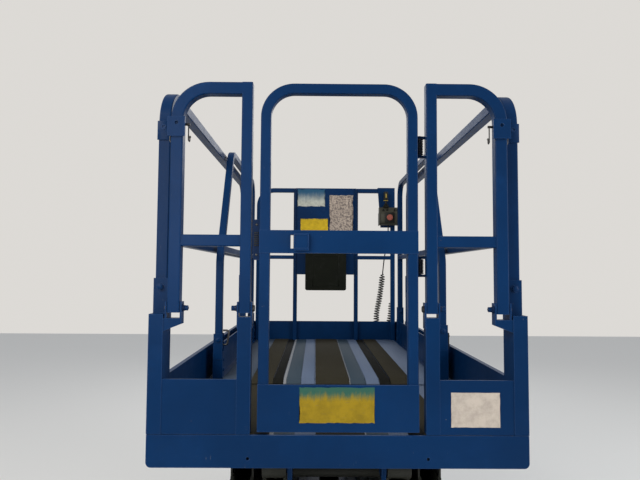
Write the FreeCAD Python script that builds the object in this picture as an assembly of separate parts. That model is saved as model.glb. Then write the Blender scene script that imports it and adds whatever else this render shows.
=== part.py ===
"""Electric slab scissor lift with a railed platform, a sliding deck extension and folding rails.

Lengths are in millimetres.  +X is the machine's right as seen from the entry gate, +Y is forward,
towards the steered wheels, and +Z is up.  The origin is on the floor under the middle of the machine.
"""
import FreeCAD, Part
import math
import os

V = FreeCAD.Vector
os.makedirs("parts", exist_ok=True)

# Whole machine
overall_length = 2440.0
overall_width = 1170.0
deck_height = 1160.0
rail_height = 1100.0
pin_gap = 0.05            # radial clearance of a pin in its bore

# Wheels and axles
wheelbase = 1850.0
tyre_diameter = 380.0
tyre_width = 127.0
tyre_shoulder = 14.0
rim_diameter = 258.0
rim_wall = 9.0
hub_radius = 52.0
spindle_radius = 24.0
kingpin_x = overall_width / 2 - 185.0
kingpin_radius = 18.0
axle_tube_radius = 38.0
beam_height = 104.0
beam_depth = 84.0
fork_plate = 14.0

# Chassis
spine_half = 185.0
chassis_bottom = 100.0
chassis_top = 430.0
plate = 8.0
end_plate = 12.0
chassis_half = overall_width / 2 - 25.0
tie_hole_x = chassis_half - 90.0
end_inset = 55.0          # rear end plate ahead of the ladder's rear face
tie_hole_z = 330.0
tie_hole_radius = 17.0
guard_pivot_z = 112.0
guard_pivot_x = overall_width / 2 - 70.0
guard_plate = 6.0
guard_drop = 93.0
guard_rear = -600.0
guard_front = 570.0

# Swing-out modules
module_inner = 205.0
module_bottom = 145.0
module_rear = -680.0
module_front = 600.0
module_wall = 4.0
module_pivot_x = overall_width / 2 - 50.0
module_pivot_y = -630.0
module_pin_radius = 12.0
ladder_half = 190.0
ladder_low = 215.0
ladder_top = deck_height - 200.0

# Platform
platform_length = 2260.0
platform_width = overall_width - 6.0
deck_plate = 4.0
skirt_depth = 99.0
skirt_plate = 10.0
toe_height = 165.0
toe_plate = 5.0
side_toe_height = 150.0
platform_rear = -platform_length / 2
beam_low = 60.0
beam_width = 40.0
beam_places = (400.0, 900.0, 1400.0, 1850.0, platform_length - 70.0)

# Scissor stack
arm_length = platform_length - 210.0       # pin to pin
level_count = 4
base_pin_y = platform_rear + 100.0
base_pin_z = 485.0
level_pitch = (deck_height - 135.0 - base_pin_z) / level_count
arm_height = level_pitch - 13.0
arm_width = 76.0
arm_wall = 6.0
outer_arm_x = 310.0
inner_arm_x = 200.0
arm_pin_radius = 19.0
boss_radius = 34.0
lug_plate = 10.0
boss_clear = 8.0
roller_radius = 30.0
roller_width = 26.0
roller_gap = 0.3
cross_tube_radius = 24.0
seat_tube_radius = 30.0
cross_tube_inset = 170.0  # from an end pin to a cross tube
base_channel_start = 860.0  # from the rear pins to the lower rollers' channels
base_channel_over = 70.0    # past the rollers at rest
top_channel_start = 790.0
top_channel_over = 75.0

# Lift cylinder, between the second and third inner arms
barrel_share = 0.65       # place along the pin line from the lower pin
barrel_offset = -0.52 * level_pitch + 0.2
eye_share = 0.215
eye_offset = -8.0
cylinder_radius = 52.0
rod_radius = 27.0
eye_radius = 32.0
eye_width = 50.0
cylinder_pin_radius = 16.0
neck_radius = 28.0
seat_reach = 88.0         # from the barrel's pin to its seat tube
seat_turn = 198.0         # degrees from straight ahead
cheek_gap = 6.0
cheek = 12.0

# Guard rails
post = 38.0
light_post = 32.0
inner_post = 34.0
tube_corner = 4.0
side_rail_x = platform_width / 2 - 21.0
side_post_y = 53.0        # ahead of the folding entry rails' plane, from the platform's rear
side_pivot_z = rail_height - 656.0
side_bend = 110.0
mid_rail_z = rail_height - 500.0
side_posts = (side_post_y, platform_length - 240.0)
entry_outer_x = side_rail_x - 52.0
entry_inner_x = 290.0
entry_pivot_z = side_pivot_z - 64.0
entry_bend = 100.0
entry_foot = 13.5
entry_mid_height = 36.0
lock_outer_x = side_rail_x - 24.0
lock_z = (rail_height - 185.0, rail_height - 123.0)
lock_hole = 6.0
hinge_pin_radius = 8.0
stub_width = 44.0
cheek_plate = 5.0

# Entry gate
gate_half = 247.0
gate_bend = 90.0
gate_bottom = 8.0
gate_band_low = rail_height - 548.0
gate_band_high = rail_height - 477.0
gate_toe_height = 150.0
gate_axis_x = 258.0
gate_axis_y = 20.0
gate_hinges = ((rail_height - 620.0, rail_height - 555.0), (rail_height - 240.0, rail_height - 170.0))
gate_pin_radius = 5.0
gate_barrel_radius = 9.0

# Extension deck
extension_rear = 800.0
extension_front = platform_length - 4.0
extension_gap = 6.0
extension_plate = 12.0
extension_half = platform_width / 2 - 50.0
extension_rail_x = extension_half - 22.0
runner_x = (extension_half - 92.0, extension_half - 62.0)
runner_length = 700.0
extension_posts = (extension_rear + 20.0, platform_length - 170.0)
extension_rail_top = rail_height + 18.0
extension_lean_z = rail_height - 550.0
extension_lean_y = extension_rear + 305.0
extension_bend = 90.0
extension_toe = 160.0
extension_pivots = {-1: 185.0, 1: 230.0}
front_post_x = extension_rail_x - 32.0
front_inner_x = front_post_x - 262.0
front_post = 30.0
front_inner_post = 28.0
front_bend = 110.0
front_rail_y = platform_length - 25.0
front_rail_top = rail_height - 6.0
cord_clamp_z = (rail_height - 695.0, rail_height - 665.0)
cord_clamp_half = 12.0
cord_clamp_depth = 12.0

# Platform control and manual box
panel_low = rail_height - 622.0
panel_sheet = 4.0
manual_half = front_inner_x - 73.0
manual_low = rail_height - 732.0
manual_high = rail_height - 460.0
manual_depth = 62.0
manual_wall = 4.0
control_x = (front_post_x - 102.0, front_post_x + 44.0)
control_z = (rail_height - 270.0, rail_height - 145.0)
control_y = (front_rail_y - 95.0, front_rail_y - 19.0)
control_plate_x = (front_post_x - 108.0, front_post_x + 14.0)

# Curly control cord: x from the front post, y from the front rail and z from the rail's top
cord_radius = 4.0
curl_radius = 21.0
lead_route = ((-38.0, -57.0, -270.0), (-38.0, -57.0, -330.0), (-40.0, -20.0, -395.0),
              (-46.0, 35.0, -450.0), (-53.4, 63.8, -518.8), (-63.0, 65.0, -613.0))
curl_route = ((-63.0, 65.0, -613.0), (-79.0, 67.0, -770.0), (-112.0, 65.0, -910.0),
              (-102.0, 64.0, -1008.0), (-30.0, 64.0, -1016.0), (-4.0, 65.0, -920.0),
              (0.0, 65.0, -810.0))
tail_route = ((0.0, 65.0, -810.0), (2.0, 65.0, -755.0), (0.0, 63.0, -680.0), (0.0, 27.0, -680.0))


def box(x, y, z):
    """Block between low and high values of x, y and z."""
    corner = V(min(x), min(y), min(z))
    return Part.makeBox(abs(x[1] - x[0]), abs(y[1] - y[0]), abs(z[1] - z[0]), corner)


def bar(start, end, radius):
    """Round bar between two points."""
    start, end = V(*start), V(*end)
    return Part.makeCylinder(radius, start.distanceToPoint(end), start, end - start)


def prism(points, direction):
    """Flat closed outline pushed along a direction."""
    corners = [V(*p) for p in points]
    return Part.Face(Part.makePolygon(corners + corners[:1])).extrude(V(*direction))


def prism_x(points, x):
    """Outline of (y, z) points between two values of x."""
    return prism([(x[0], a, b) for a, b in points], (x[1] - x[0], 0, 0))


def prism_y(points, y):
    """Outline of (x, z) points between two values of y."""
    return prism([(a, y[0], b) for a, b in points], (0, y[1] - y[0], 0))


def prism_z(points, z):
    """Outline of (x, y) points between two values of z."""
    return prism([(a, b, z[0]) for a, b in points], (0, 0, z[1] - z[0]))


def joined(shapes):
    """One clean solid, or one shape where the pieces stay apart."""
    shapes = list(shapes)
    if len(shapes) == 1:
        return shapes[0]
    return shapes[0].multiFuse(shapes[1:]).removeSplitter()


def cut(shape, tools):
    return shape.cut(list(tools))


def mirrored(shape):
    return shape.mirror(V(0, 0, 0), V(1, 0, 0))


def both_sides(shape):
    return [shape, mirrored(shape)]


def save(name, shapes):
    """Write one node: a solid, or solids that stand apart."""
    solids = [solid for shape in shapes for solid in shape.Solids]
    whole = solids[0] if len(solids) == 1 else Part.makeCompound(solids)
    whole.exportStep("parts/%s.step" % name)


def tube_section(centre, along, normal, width, depth):
    """Face of a square tube with rounded edges: width across the normal, depth along it."""
    across = along.cross(normal).normalize()
    normal = V(normal).normalize()
    a, b, r = width / 2, depth / 2, tube_corner
    edges = []
    quarter = r * (1 - math.sqrt(0.5))
    for s, t in ((1, 1), (-1, 1), (-1, -1), (1, -1)):
        first, last = (s * a, t * (b - r)), (s * (a - r), t * b)
        if s * t < 0:
            first, last = last, first
        middle = (s * (a - quarter), t * (b - quarter))
        edges.append([centre + across * u + normal * v for u, v in (first, middle, last)])
    parts = []
    for i, (first, middle, last) in enumerate(edges):
        parts.append(Part.Arc(first, middle, last).toShape())
        parts.append(Part.LineSegment(last, edges[(i + 1) % 4][0]).toShape())
    return Part.Face(Part.Wire(parts))


def square_tube(points, normal, size, bend=0.0):
    """Tube of square section along flat straight runs that meet in bends of one radius."""
    points = [V(*p) for p in points]
    normal = V(*normal)
    width, depth = size
    heads = [(b - a).normalize() for a, b in zip(points, points[1:])]
    turns = [heads[i].getAngle(heads[i + 1]) for i in range(len(heads) - 1)]
    trims = [0.0] + [bend * math.tan(t / 2) for t in turns] + [0.0]
    pieces = []
    for i, head in enumerate(heads):
        start = points[i] + head * trims[i]
        end = points[i + 1] - head * trims[i + 1]
        pieces.append(tube_section(start, head, normal, width, depth).extrude(end - start))
        if i < len(turns):
            inward = (heads[i + 1] - head * heads[i + 1].dot(head)).normalize()
            axis = head.cross(heads[i + 1])
            face = tube_section(end, head, normal, width, depth)
            pieces.append(face.revolve(end + inward * bend, axis, math.degrees(turns[i])))
    return joined(pieces)


def round_route(name, points, radius):
    """Round tube along straight runs joined by arcs as large as the runs allow."""
    points = [V(front_post_x + x, platform_rear + front_rail_y + y, deck_height + rail_height + z)
              for x, y, z in points]
    heads = [(b - a).normalize() for a, b in zip(points, points[1:])]
    runs = [a.distanceToPoint(b) for a, b in zip(points, points[1:])]
    edges, radii = [], []
    start = points[0]
    for i in range(1, len(points) - 1):
        turn = heads[i - 1].getAngle(heads[i])
        trim = 0.45 * min(runs[i - 1], runs[i])
        radii.append(trim / math.tan(turn / 2))
        first = points[i] - heads[i - 1] * trim
        last = points[i] + heads[i] * trim
        towards = (heads[i] - heads[i - 1]).normalize()
        middle = points[i] + towards * (radii[-1] * (1 / math.cos(turn / 2) - 1))
        edges.append(Part.LineSegment(start, first).toShape())
        edges.append(Part.Arc(first, middle, last).toShape())
        start = last
    edges.append(Part.LineSegment(start, points[-1]).toShape())
    path = Part.Wire(edges)
    profile = Part.Wire([Part.makeCircle(radius, points[0], heads[0])])
    tube = path.makePipeShell([profile], True, True)
    print(name, "radii", [round(r, 1) for r in radii], "length", round(path.Length, 1),
          "volume error", round(tube.Volume / (math.pi * radius ** 2 * path.Length) - 1, 5))
    return tube


# Places worked out from the sizes
axle_z = tyre_diameter / 2
axle_y = wheelbase / 2
wheel_x = (overall_width - tyre_width) / 2
wheel_inner = wheel_x - tyre_width / 2
rest_angle = math.asin(level_pitch / arm_length)
arm_reach = arm_length * math.cos(rest_angle)
side_inner = side_rail_x - stub_width / 2
chassis_front = overall_length / 2
chassis_rear = -chassis_front


def at(y, z):
    """Platform place (y from its rear, z from its deck) in the machine's frame."""
    return platform_rear + y, deck_height + z


def py(*values):
    return tuple(platform_rear + v for v in values)


def pz(*values):
    return tuple(deck_height + v for v in values)


def level_middle(level):
    """Height of the middle of a level's arms, lying flat."""
    return base_pin_z + (level - 0.5) * level_pitch


def on_inner_arm(level, share, offset):
    """Point beside the pin line of an inner arm, from its lower, front pin."""
    sine, cosine = math.sin(rest_angle), math.cos(rest_angle)
    y = base_pin_y + (1 - share) * arm_reach + offset * sine
    z = base_pin_z + (level - 1 + share) * level_pitch + offset * cosine
    return y, z


# Wheels
def tyre(x, y):
    half, outer, inner = tyre_width / 2, tyre_diameter / 2, rim_diameter / 2
    outline = [(-half, inner), (-half, outer - tyre_shoulder), (-half + tyre_shoulder, outer),
               (half - tyre_shoulder, outer), (half, outer - tyre_shoulder), (half, inner)]
    face = Part.Face(Part.makePolygon([V(a, 0, b) for a, b in outline + outline[:1]]))
    ring = face.revolve(V(0, 0, 0), V(1, 0, 0), 360)
    ring.translate(V(x, y, axle_z))
    return ring


def rim(side, y):
    """Pressed rim whose disc lies towards the outside, with a hub and a ring of holes."""
    half, outer = tyre_width / 2 - 6.0, rim_diameter / 2
    disc_in, disc_out, hub_out = 18.0, 28.0, 46.0
    bore = spindle_radius + pin_gap
    outline = [(-half, outer - rim_wall), (-half, outer), (half, outer), (half, outer - rim_wall),
               (disc_out, outer - rim_wall), (disc_out, hub_radius), (hub_out, hub_radius - 12),
               (hub_out, bore), (-half + 12, bore), (-half + 12, hub_radius),
               (disc_in, hub_radius), (disc_in, outer - rim_wall)]
    face = Part.Face(Part.makePolygon([V(a, 0, b) for a, b in outline + outline[:1]]))
    solid = face.revolve(V(0, 0, 0), V(1, 0, 0), 360)
    holes = []
    for i in range(5):
        turn = math.radians(72 * i + 90)
        spot = (88 * math.cos(turn), 88 * math.sin(turn))
        holes.append(bar((disc_in - 5, spot[0], spot[1]), (disc_out + 5, spot[0], spot[1]), 14.0))
    solid = cut(solid, holes)
    if side < 0:
        solid = mirrored(solid)
    solid.translate(V(side * wheel_x, y, axle_z))
    return solid


def make_wheels():
    for end, y in (("rear", -axle_y), ("front", axle_y)):
        for word, side in (("left", -1), ("right", 1)):
            save("tyre_%s_%s" % (end, word), [tyre(side * wheel_x, y)])
            save("rim_%s_%s" % (end, word), [rim(side, y)])


# Chassis
def chassis_spine():
    """Four plates of the long box between the wheels."""
    span = (chassis_rear + end_inset, chassis_front - end_plate)
    low, high = chassis_bottom + plate, chassis_top - plate
    sides = both_sides(box((spine_half - plate, spine_half), span, (low, high)))
    lids = [box((-spine_half, spine_half), span, (z, z + plate)) for z in (chassis_bottom, high)]
    return sides + lids


def end_plates():
    """Plates across both ends of the chassis, with a lashing hole at each corner."""
    slope = 70.0
    low, high = chassis_bottom + 20.0, chassis_bottom + 80.0
    outline = [(-chassis_half, high), (-chassis_half + slope, low), (chassis_half - slope, low),
               (chassis_half, high), (chassis_half, chassis_top), (-chassis_half, chassis_top)]
    plates = []
    for y in (chassis_rear + end_inset - end_plate, chassis_front - end_plate):
        holes = [bar((x, y - 1, tie_hole_z), (x, y + end_plate + 1, tie_hole_z), tie_hole_radius)
                 for x in (-tie_hole_x, tie_hole_x)]
        plates.append(cut(prism_y(outline, (y, y + end_plate)), holes))
    return plates


def wheel_covers():
    """Plates over the wheels with a turned-down outer edge."""
    pieces = []
    for low, high in ((module_front + 50.0, chassis_front - end_plate),
                      (chassis_rear + end_inset, module_rear - 28.0)):
        pieces += both_sides(box((spine_half, chassis_half), (low, high),
                                 (chassis_top - plate, chassis_top)))
        pieces += both_sides(box((chassis_half - plate, chassis_half), (low, high),
                                 (chassis_top - 34.0, chassis_top - plate)))
    return pieces


def guard_arms():
    """Arms from the spine that carry the guards' pins, with seats for the modules' pins."""
    arm_low, arm_high = guard_pivot_z - 12.0, guard_pivot_z + 13.0
    pieces = []
    for face, outward in ((guard_rear - 6.0, -1), (guard_front + 6.0, 1)):
        pieces += both_sides(box((spine_half, guard_pivot_x + 15.0), (face, face + outward * 30.0),
                                 (arm_low, arm_high)))
        pieces += both_sides(bar((guard_pivot_x, face, guard_pivot_z),
                                 (guard_pivot_x, face - outward * 20.0, guard_pivot_z),
                                 hinge_pin_radius))
    pieces += both_sides(box((module_pivot_x - 28.0, module_pivot_x + 22.0),
                             (guard_rear - 56.0, guard_rear - 6.0), (arm_high, arm_high + plate)))
    pieces += both_sides(bar((module_pivot_x, module_pivot_y, arm_high + plate),
                             (module_pivot_x, module_pivot_y, module_bottom + 60.0),
                             module_pin_radius))
    return pieces


def rear_axle():
    """Fixed axle tubes with flanges and spindles, one on each side of the spine."""
    flange_x = wheel_inner - 6.0
    steps = ((spine_half, flange_x - 77.0, axle_tube_radius), (flange_x - 92.0, flange_x, hub_radius),
             (flange_x, wheel_x + 42.0, spindle_radius))
    half = joined([bar((low, -axle_y, axle_z), (high, -axle_y, axle_z), r) for low, high, r in steps])
    return both_sides(half)


def front_axle():
    """Beams with a kingpin boss and a kingpin, one on each side of the spine."""
    half, rise = beam_depth / 2, beam_height / 2
    neck = kingpin_x - 48.0
    outline = [(spine_half, -half), (neck - 16, -half), (neck, -28.0), (kingpin_x, -28.0),
               (kingpin_x, 28.0), (neck, 28.0), (neck - 16, half), (spine_half, half)]
    beam = prism_z([(x, axle_y + y) for x, y in outline], (axle_z - rise, axle_z + rise))
    boss = bar((kingpin_x, axle_y, axle_z - rise), (kingpin_x, axle_y, axle_z + rise), 34.0)
    reach = rise + 6.0 + fork_plate + 4.0
    pin = bar((kingpin_x, axle_y, axle_z - reach), (kingpin_x, axle_y, axle_z + reach), kingpin_radius)
    return both_sides(joined([beam, boss, pin]))


def knuckle():
    """Right fork around the kingpin boss, with the spindle and a steering arm."""
    rise = beam_height / 2 + 6.0
    web_in, web_out = kingpin_x + 41.0, wheel_inner - 6.0
    pieces = []
    for low, high in ((axle_z + rise, axle_z + rise + fork_plate),
                      (axle_z - rise - fork_plate, axle_z - rise)):
        pieces.append(bar((kingpin_x, axle_y, low), (kingpin_x, axle_y, high), 30.0))
        pieces.append(box((kingpin_x, web_out), (axle_y - 30.0, axle_y + 30.0), (low, high)))
    pieces.append(box((web_in, web_out), (axle_y - 30.0, axle_y + 30.0),
                      (axle_z - rise - fork_plate, axle_z + rise + fork_plate)))
    pieces.append(bar((web_out, axle_y, axle_z), (wheel_x + 42.0, axle_y, axle_z), spindle_radius))
    arm_z = axle_z + rise
    arm = [(kingpin_x - 22.0, axle_y), (kingpin_x - 14.0, axle_y - 96.0),
           (kingpin_x + 10.0, axle_y - 96.0), (kingpin_x + 22.0, axle_y)]
    pieces.append(prism_z(arm, (arm_z, arm_z + fork_plate)))
    solid = joined(pieces)
    bore = bar((kingpin_x, axle_y, 0), (kingpin_x, axle_y, deck_height), kingpin_radius + pin_gap)
    return cut(solid, [bore])


def entry_ladder():
    """Two bent uprights with three steps on the rear end plate."""
    y_plate = chassis_rear + end_inset - end_plate
    pieces = []
    for side in (-1, 1):
        x = (side * ladder_half - 15.0, side * ladder_half + 15.0)
        pieces.append(box(x, (chassis_rear + 6.0, chassis_rear + 26.0), (ladder_low, ladder_top)))
        for z in (ladder_low + 21.0, chassis_top - 34.0):
            pieces.append(box(x, (chassis_rear + 26.0, y_plate), (z, z + 24.0)))
    first, last = ladder_low + 35.0, ladder_top - 130.0
    for z in (first, (first + last) / 2, last):
        pieces.append(box((-ladder_half, ladder_half), (chassis_rear, chassis_rear + 40.0),
                          (z, z + 22.0)))
    return joined(pieces)


def scissor_base():
    """Rear pin brackets of the outer arms and the channels of the front rollers."""
    inner = outer_arm_x + arm_width / 2 + 6.0
    bracket = prism_x([(base_pin_y - 62, chassis_top), (base_pin_y + 88, chassis_top),
                       (base_pin_y + 34, base_pin_z + 30), (base_pin_y - 34, base_pin_z + 30)],
                      (inner, inner + 16.0))
    pin = bar((outer_arm_x - arm_width / 2, base_pin_y, base_pin_z),
              (inner + 16.0, base_pin_y, base_pin_z), arm_pin_radius)
    pieces = both_sides(joined([bracket, pin]))
    span = (base_pin_y + base_channel_start, base_pin_y + arm_reach + base_channel_over)
    for piece in roller_channel(inner_arm_x - arm_width / 2 - 8.0, -1, base_pin_z, span, chassis_top):
        pieces += both_sides(piece)
    return pieces


def roller_channel(arm_face, inward, roller_z, span, seat):
    """Plates of a channel around a roller, open towards the arm, with its foot at a seat height."""
    face = arm_face + inward * (roller_width + 6.0)
    back = face + inward * 8.0
    low, high = roller_z - roller_radius - roller_gap, roller_z + roller_radius + roller_gap
    foot = (seat, low - 8.0) if seat < roller_z else (high + 8.0, seat)
    return [box((face, back), span, (low - 8.0, high + 8.0)),
            box((arm_face, face), span, (low - 8.0, low)),
            box((arm_face, face), span, (high, high + 8.0)),
            box((arm_face, back), span, foot)]


# Modules and pothole guards
def module_cover():
    """Right swing-out cover: a hollow housing with a sill, a hinge block and vent slots."""
    x_out = overall_width / 2
    outline = [(module_inner, module_bottom), (x_out - 12, module_bottom), (x_out, module_bottom + 12),
               (x_out, chassis_top - 40), (x_out - 40, chassis_top), (module_inner, chassis_top)]
    outer = prism_y(outline, (module_rear, module_front))
    wall = module_wall
    hollow = [(module_inner + wall, module_bottom + wall), (x_out - 12 - wall, module_bottom + wall),
              (x_out - wall, module_bottom + 12 + wall), (x_out - wall, chassis_top - 40 - wall),
              (x_out - 40 - wall, chassis_top - wall), (module_inner + wall, chassis_top - wall)]
    inner = prism_y(hollow, (module_rear + wall, module_front - wall))
    solid = cut(outer, [inner])
    block = box((module_pivot_x - 25, module_pivot_x + 25),
                (module_rear + wall, module_pivot_y + 25), (module_bottom + wall, module_bottom + 80))
    bore = bar((module_pivot_x, module_pivot_y, module_bottom - 1),
               (module_pivot_x, module_pivot_y, module_bottom + 61), module_pin_radius + pin_gap)
    slots = []
    for i in range(6):
        y = module_front - 300.0 + 34.0 * i
        slots.append(box((x_out - 20, x_out + 1), (y, y + 14.0), (chassis_top - 180, chassis_top - 90)))
    return cut(joined([solid, block]), [bore] + slots)


def battery_pack():
    """Traction batteries as one block in the right module."""
    return box((module_inner + 20, module_pivot_x - 40), (module_rear + 150, module_front - 380),
               (module_bottom + module_wall, chassis_top - 35))


def pothole_guard():
    """Right guard, folded flat under the module: hinge tube, plate and stiffening lip."""
    tube = bar((guard_pivot_x, guard_rear, guard_pivot_z), (guard_pivot_x, guard_front, guard_pivot_z),
               12.0)
    sheet = box((guard_pivot_x - guard_drop, guard_pivot_x), (guard_rear, guard_front),
                (guard_pivot_z - guard_plate / 2, guard_pivot_z + guard_plate / 2))
    lip = box((guard_pivot_x - guard_drop, guard_pivot_x - guard_drop + guard_plate),
              (guard_rear, guard_front), (guard_pivot_z - guard_plate / 2, guard_pivot_z + 16.0))
    bore = bar((guard_pivot_x, guard_rear - 1, guard_pivot_z),
               (guard_pivot_x, guard_front + 1, guard_pivot_z), hinge_pin_radius + pin_gap)
    return cut(joined([tube, sheet, lip]), [bore])


# Scissor arms
def arm_tube(x, middle):
    """Hollow tube of an arm, cut short of the bosses that pass its ends."""
    y_low = base_pin_y + boss_radius + boss_clear
    y_high = base_pin_y + arm_reach - boss_radius - boss_clear
    half, rise = arm_width / 2, arm_height / 2
    outer = box((x - half, x + half), (y_low, y_high), (middle - rise, middle + rise))
    outer = outer.makeFillet(10.0, [e for e in outer.Edges if abs(e.tangentAt(0).y) > 0.9])
    inner = box((x - half + arm_wall, x + half - arm_wall), (y_low - 1, y_high + 1),
                (middle - rise + arm_wall, middle + rise - arm_wall))
    return cut(outer, [inner])


def arm_lug(x, middle, y_pin, z_pin, inward):
    """Two side plates and a boss that carry an end pin clear of the tube."""
    half, rise = arm_width / 2, arm_height / 2
    root = y_pin + inward * (boss_radius + boss_clear + 130.0)
    tip = y_pin + inward * (boss_radius + boss_clear)
    outward = 1 if z_pin > middle else -1
    near, far = middle + outward * rise, middle - outward * rise * 0.35
    outline = [(root, near), (tip, near), (y_pin, z_pin + outward * boss_radius * 0.6),
               (y_pin - inward * boss_radius * 0.8, z_pin), (y_pin, z_pin - outward * boss_radius),
               (tip, far), (root, far)]
    plates = [prism_x(outline, (x + s * half - s * lug_plate, x + s * half)) for s in (-1, 1)]
    boss = bar((x - half, y_pin, z_pin), (x + half, y_pin, z_pin), boss_radius)
    return plates + [boss]


def scissor_arm(level, kind):
    """One level's pair of arms.  Outer arms rise to the front and inner arms to the rear."""
    middle = level_middle(level)
    low_pin, high_pin = middle - level_pitch / 2, middle + level_pitch / 2
    rear, front = base_pin_y, base_pin_y + arm_reach
    centre_y = (rear + front) / 2
    x = outer_arm_x if kind == "outer" else inner_arm_x
    half = arm_width / 2
    ends = ((rear, low_pin, 1), (front, high_pin, -1)) if kind == "outer" else \
           ((rear, high_pin, 1), (front, low_pin, -1))
    pieces = [arm_tube(x, middle)]
    for y, z, inward in ends:
        pieces += arm_lug(x, middle, y, z, inward)
    pieces.append(bar((x - half, centre_y, middle), (x + half, centre_y, middle), boss_radius + 8))
    solid = joined(pieces)
    bore = arm_pin_radius + pin_gap
    gap = outer_arm_x - inner_arm_x - arm_width
    if kind == "outer":
        holes = [bar((x - half - 1, y, z), (x + half + 1, y, z), bore) for y, z, _ in ends
                 if not (level == level_count and y == front)]
        solid = cut(solid, holes)
        pins = [bar((inner_arm_x - half, centre_y, middle), (x, centre_y, middle), arm_pin_radius)]
        if level == level_count:
            pins.append(bar((x, front, high_pin), (x + half + 8 + roller_width, front, high_pin),
                            arm_pin_radius))
            pins.append(bar((x + half + 7, front, high_pin),
                            (x + half + 7 + roller_width, front, high_pin), roller_radius))
        return both_sides(joined([solid] + pins))
    holes = [bar((x - half - 1, centre_y, middle), (x + half + 1, centre_y, middle), bore)]
    if level == level_count:
        holes.append(bar((x - half - 1, rear, high_pin), (x + half + 1, rear, high_pin), bore))
    solid = cut(solid, holes)
    pins = []
    if level < level_count:
        pins.append(bar((x, rear, high_pin), (x + arm_width + gap, rear, high_pin), arm_pin_radius))
    if level > 1:
        pins.append(bar((x, front, low_pin), (x + arm_width + gap, front, low_pin), arm_pin_radius))
    else:
        face = x - half
        pins.append(bar((x, front, low_pin), (face - 8 - roller_width, front, low_pin),
                        arm_pin_radius))
        pins.append(bar((face - 7, front, low_pin), (face - 7 - roller_width, front, low_pin),
                        roller_radius))
    half_frame = joined([solid] + pins)
    cross = []
    for y in (rear + cross_tube_inset, front - cross_tube_inset):
        cross.append(bar((-x + half, y, middle), (x - half, y, middle), cross_tube_radius))
    cross += cylinder_seat(level, middle)
    return [joined(both_sides(half_frame) + cross)]


def cylinder_seat(level, middle):
    """Cross tube and cheeks of the lift cylinder on the second and third inner arms."""
    if level not in (2, 3):
        return []
    face = inner_arm_x - arm_width / 2
    pieces = []
    if level == 2:
        y, z = on_inner_arm(2, barrel_share, barrel_offset)
        turn = math.radians(seat_turn)
        tube_y, tube_z = y + seat_reach * math.cos(turn), z + seat_reach * math.sin(turn)
        pieces += both_sides(box((face - 12.0, face), (tube_y - 32.0, tube_y + 32.0),
                                 (tube_z - 32.0, middle)))
        pieces.append(bar((-face + 12.0, tube_y, tube_z), (face - 12.0, tube_y, tube_z),
                          seat_tube_radius))
    else:
        y, z = on_inner_arm(3, eye_share, eye_offset)
        tube_y, tube_z = y, z + eye_radius + seat_tube_radius + 8.0
        pieces.append(bar((-face, tube_y, tube_z), (face, tube_y, tube_z), seat_tube_radius))
    inner = eye_width / 2 + cheek_gap
    lean_y, lean_z = tube_y - y, tube_z - z
    size = math.hypot(lean_y, lean_z)
    side_y, side_z = -lean_z / size * 26.0, lean_y / size * 26.0
    outline = [(tube_y + side_y, tube_z + side_z), (tube_y - side_y, tube_z - side_z),
               (y - side_y, z - side_z), (y + side_y, z + side_z)]
    for s in (-1, 1):
        x = (s * inner, s * (inner + cheek))
        pieces.append(prism_x(outline, x))
        pieces.append(bar((x[0], y, z), (x[1], y, z), 26.0))
    if level == 2:
        pieces.append(bar((-inner - 1, y, z), (inner + 1, y, z), cylinder_pin_radius))
    return pieces


def cylinder_parts():
    """Barrel with its base eye, and the rod with its free eye, at rest."""
    y0, z0 = on_inner_arm(2, barrel_share, barrel_offset)
    y1, z1 = on_inner_arm(3, eye_share, eye_offset)
    span = math.hypot(y1 - y0, z1 - z0)
    uy, uz = (y1 - y0) / span, (z1 - z0) / span

    def along(distance):
        return (0, y0 + uy * distance, z0 + uz * distance)

    def eye(y, z):
        return bar((-eye_width / 2, y, z), (eye_width / 2, y, z), eye_radius)

    head = span - eye_radius - 26.0
    barrel = joined([eye(y0, z0), bar(along(20), along(62), neck_radius),
                     bar(along(60), along(head - 40), cylinder_radius - 5),
                     bar(along(head - 40), along(head), cylinder_radius)])
    bore = bar(along(70), along(head + 1), rod_radius + pin_gap)
    pin_hole = bar((-eye_width, y0, z0), (eye_width, y0, z0), cylinder_pin_radius + pin_gap)
    barrel = cut(barrel, [bore, pin_hole])
    rod = joined([bar(along(90), along(span), rod_radius), eye(y1, z1)])
    rod = cut(rod, [bar((-eye_width, y1, z1), (eye_width, y1, z1), cylinder_pin_radius + pin_gap)])
    return barrel, rod


# Platform
def platform_deck():
    """Plate between the side channels."""
    half = platform_width / 2 - 20.0
    return box((-half, half), py(-skirt_plate, platform_length - 20.0), pz(-deck_plate, 0.0))


def platform_sides():
    half = platform_width / 2
    return both_sides(box((half - 20.0, half), py(-skirt_plate, platform_length - 20.0),
                          pz(-95.0, 0.0)))


def rear_skirt():
    """Plate across the rear end with rounded lower corners and two fixing holes."""
    half = platform_width / 2
    skirt = box((-half, half), py(-2 * skirt_plate, -skirt_plate), pz(-skirt_depth, -1.5))
    low_edges = [e for e in skirt.Edges if abs(e.tangentAt(0).y) > 0.9
                 and e.CenterOfMass.z < deck_height - skirt_depth / 2]
    skirt = skirt.makeFillet(16.0, low_edges)
    hole_z = deck_height - 71.5
    return cut(skirt, [bar((x, platform_rear - 30, hole_z), (x, platform_rear, hole_z), 5.0)
                       for x in (-274.0, 274.0)])


def platform_beams():
    """Cross beams under the deck plate and the plate across the front end."""
    half = platform_width / 2 - 20.0
    beams = [box((-half, half), py(y, y + beam_width), pz(-beam_low, -deck_plate)) for y in beam_places]
    return beams + [box((-half, half), py(platform_length - 26, platform_length - 20),
                        pz(-95.0, -deck_plate))]


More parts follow.
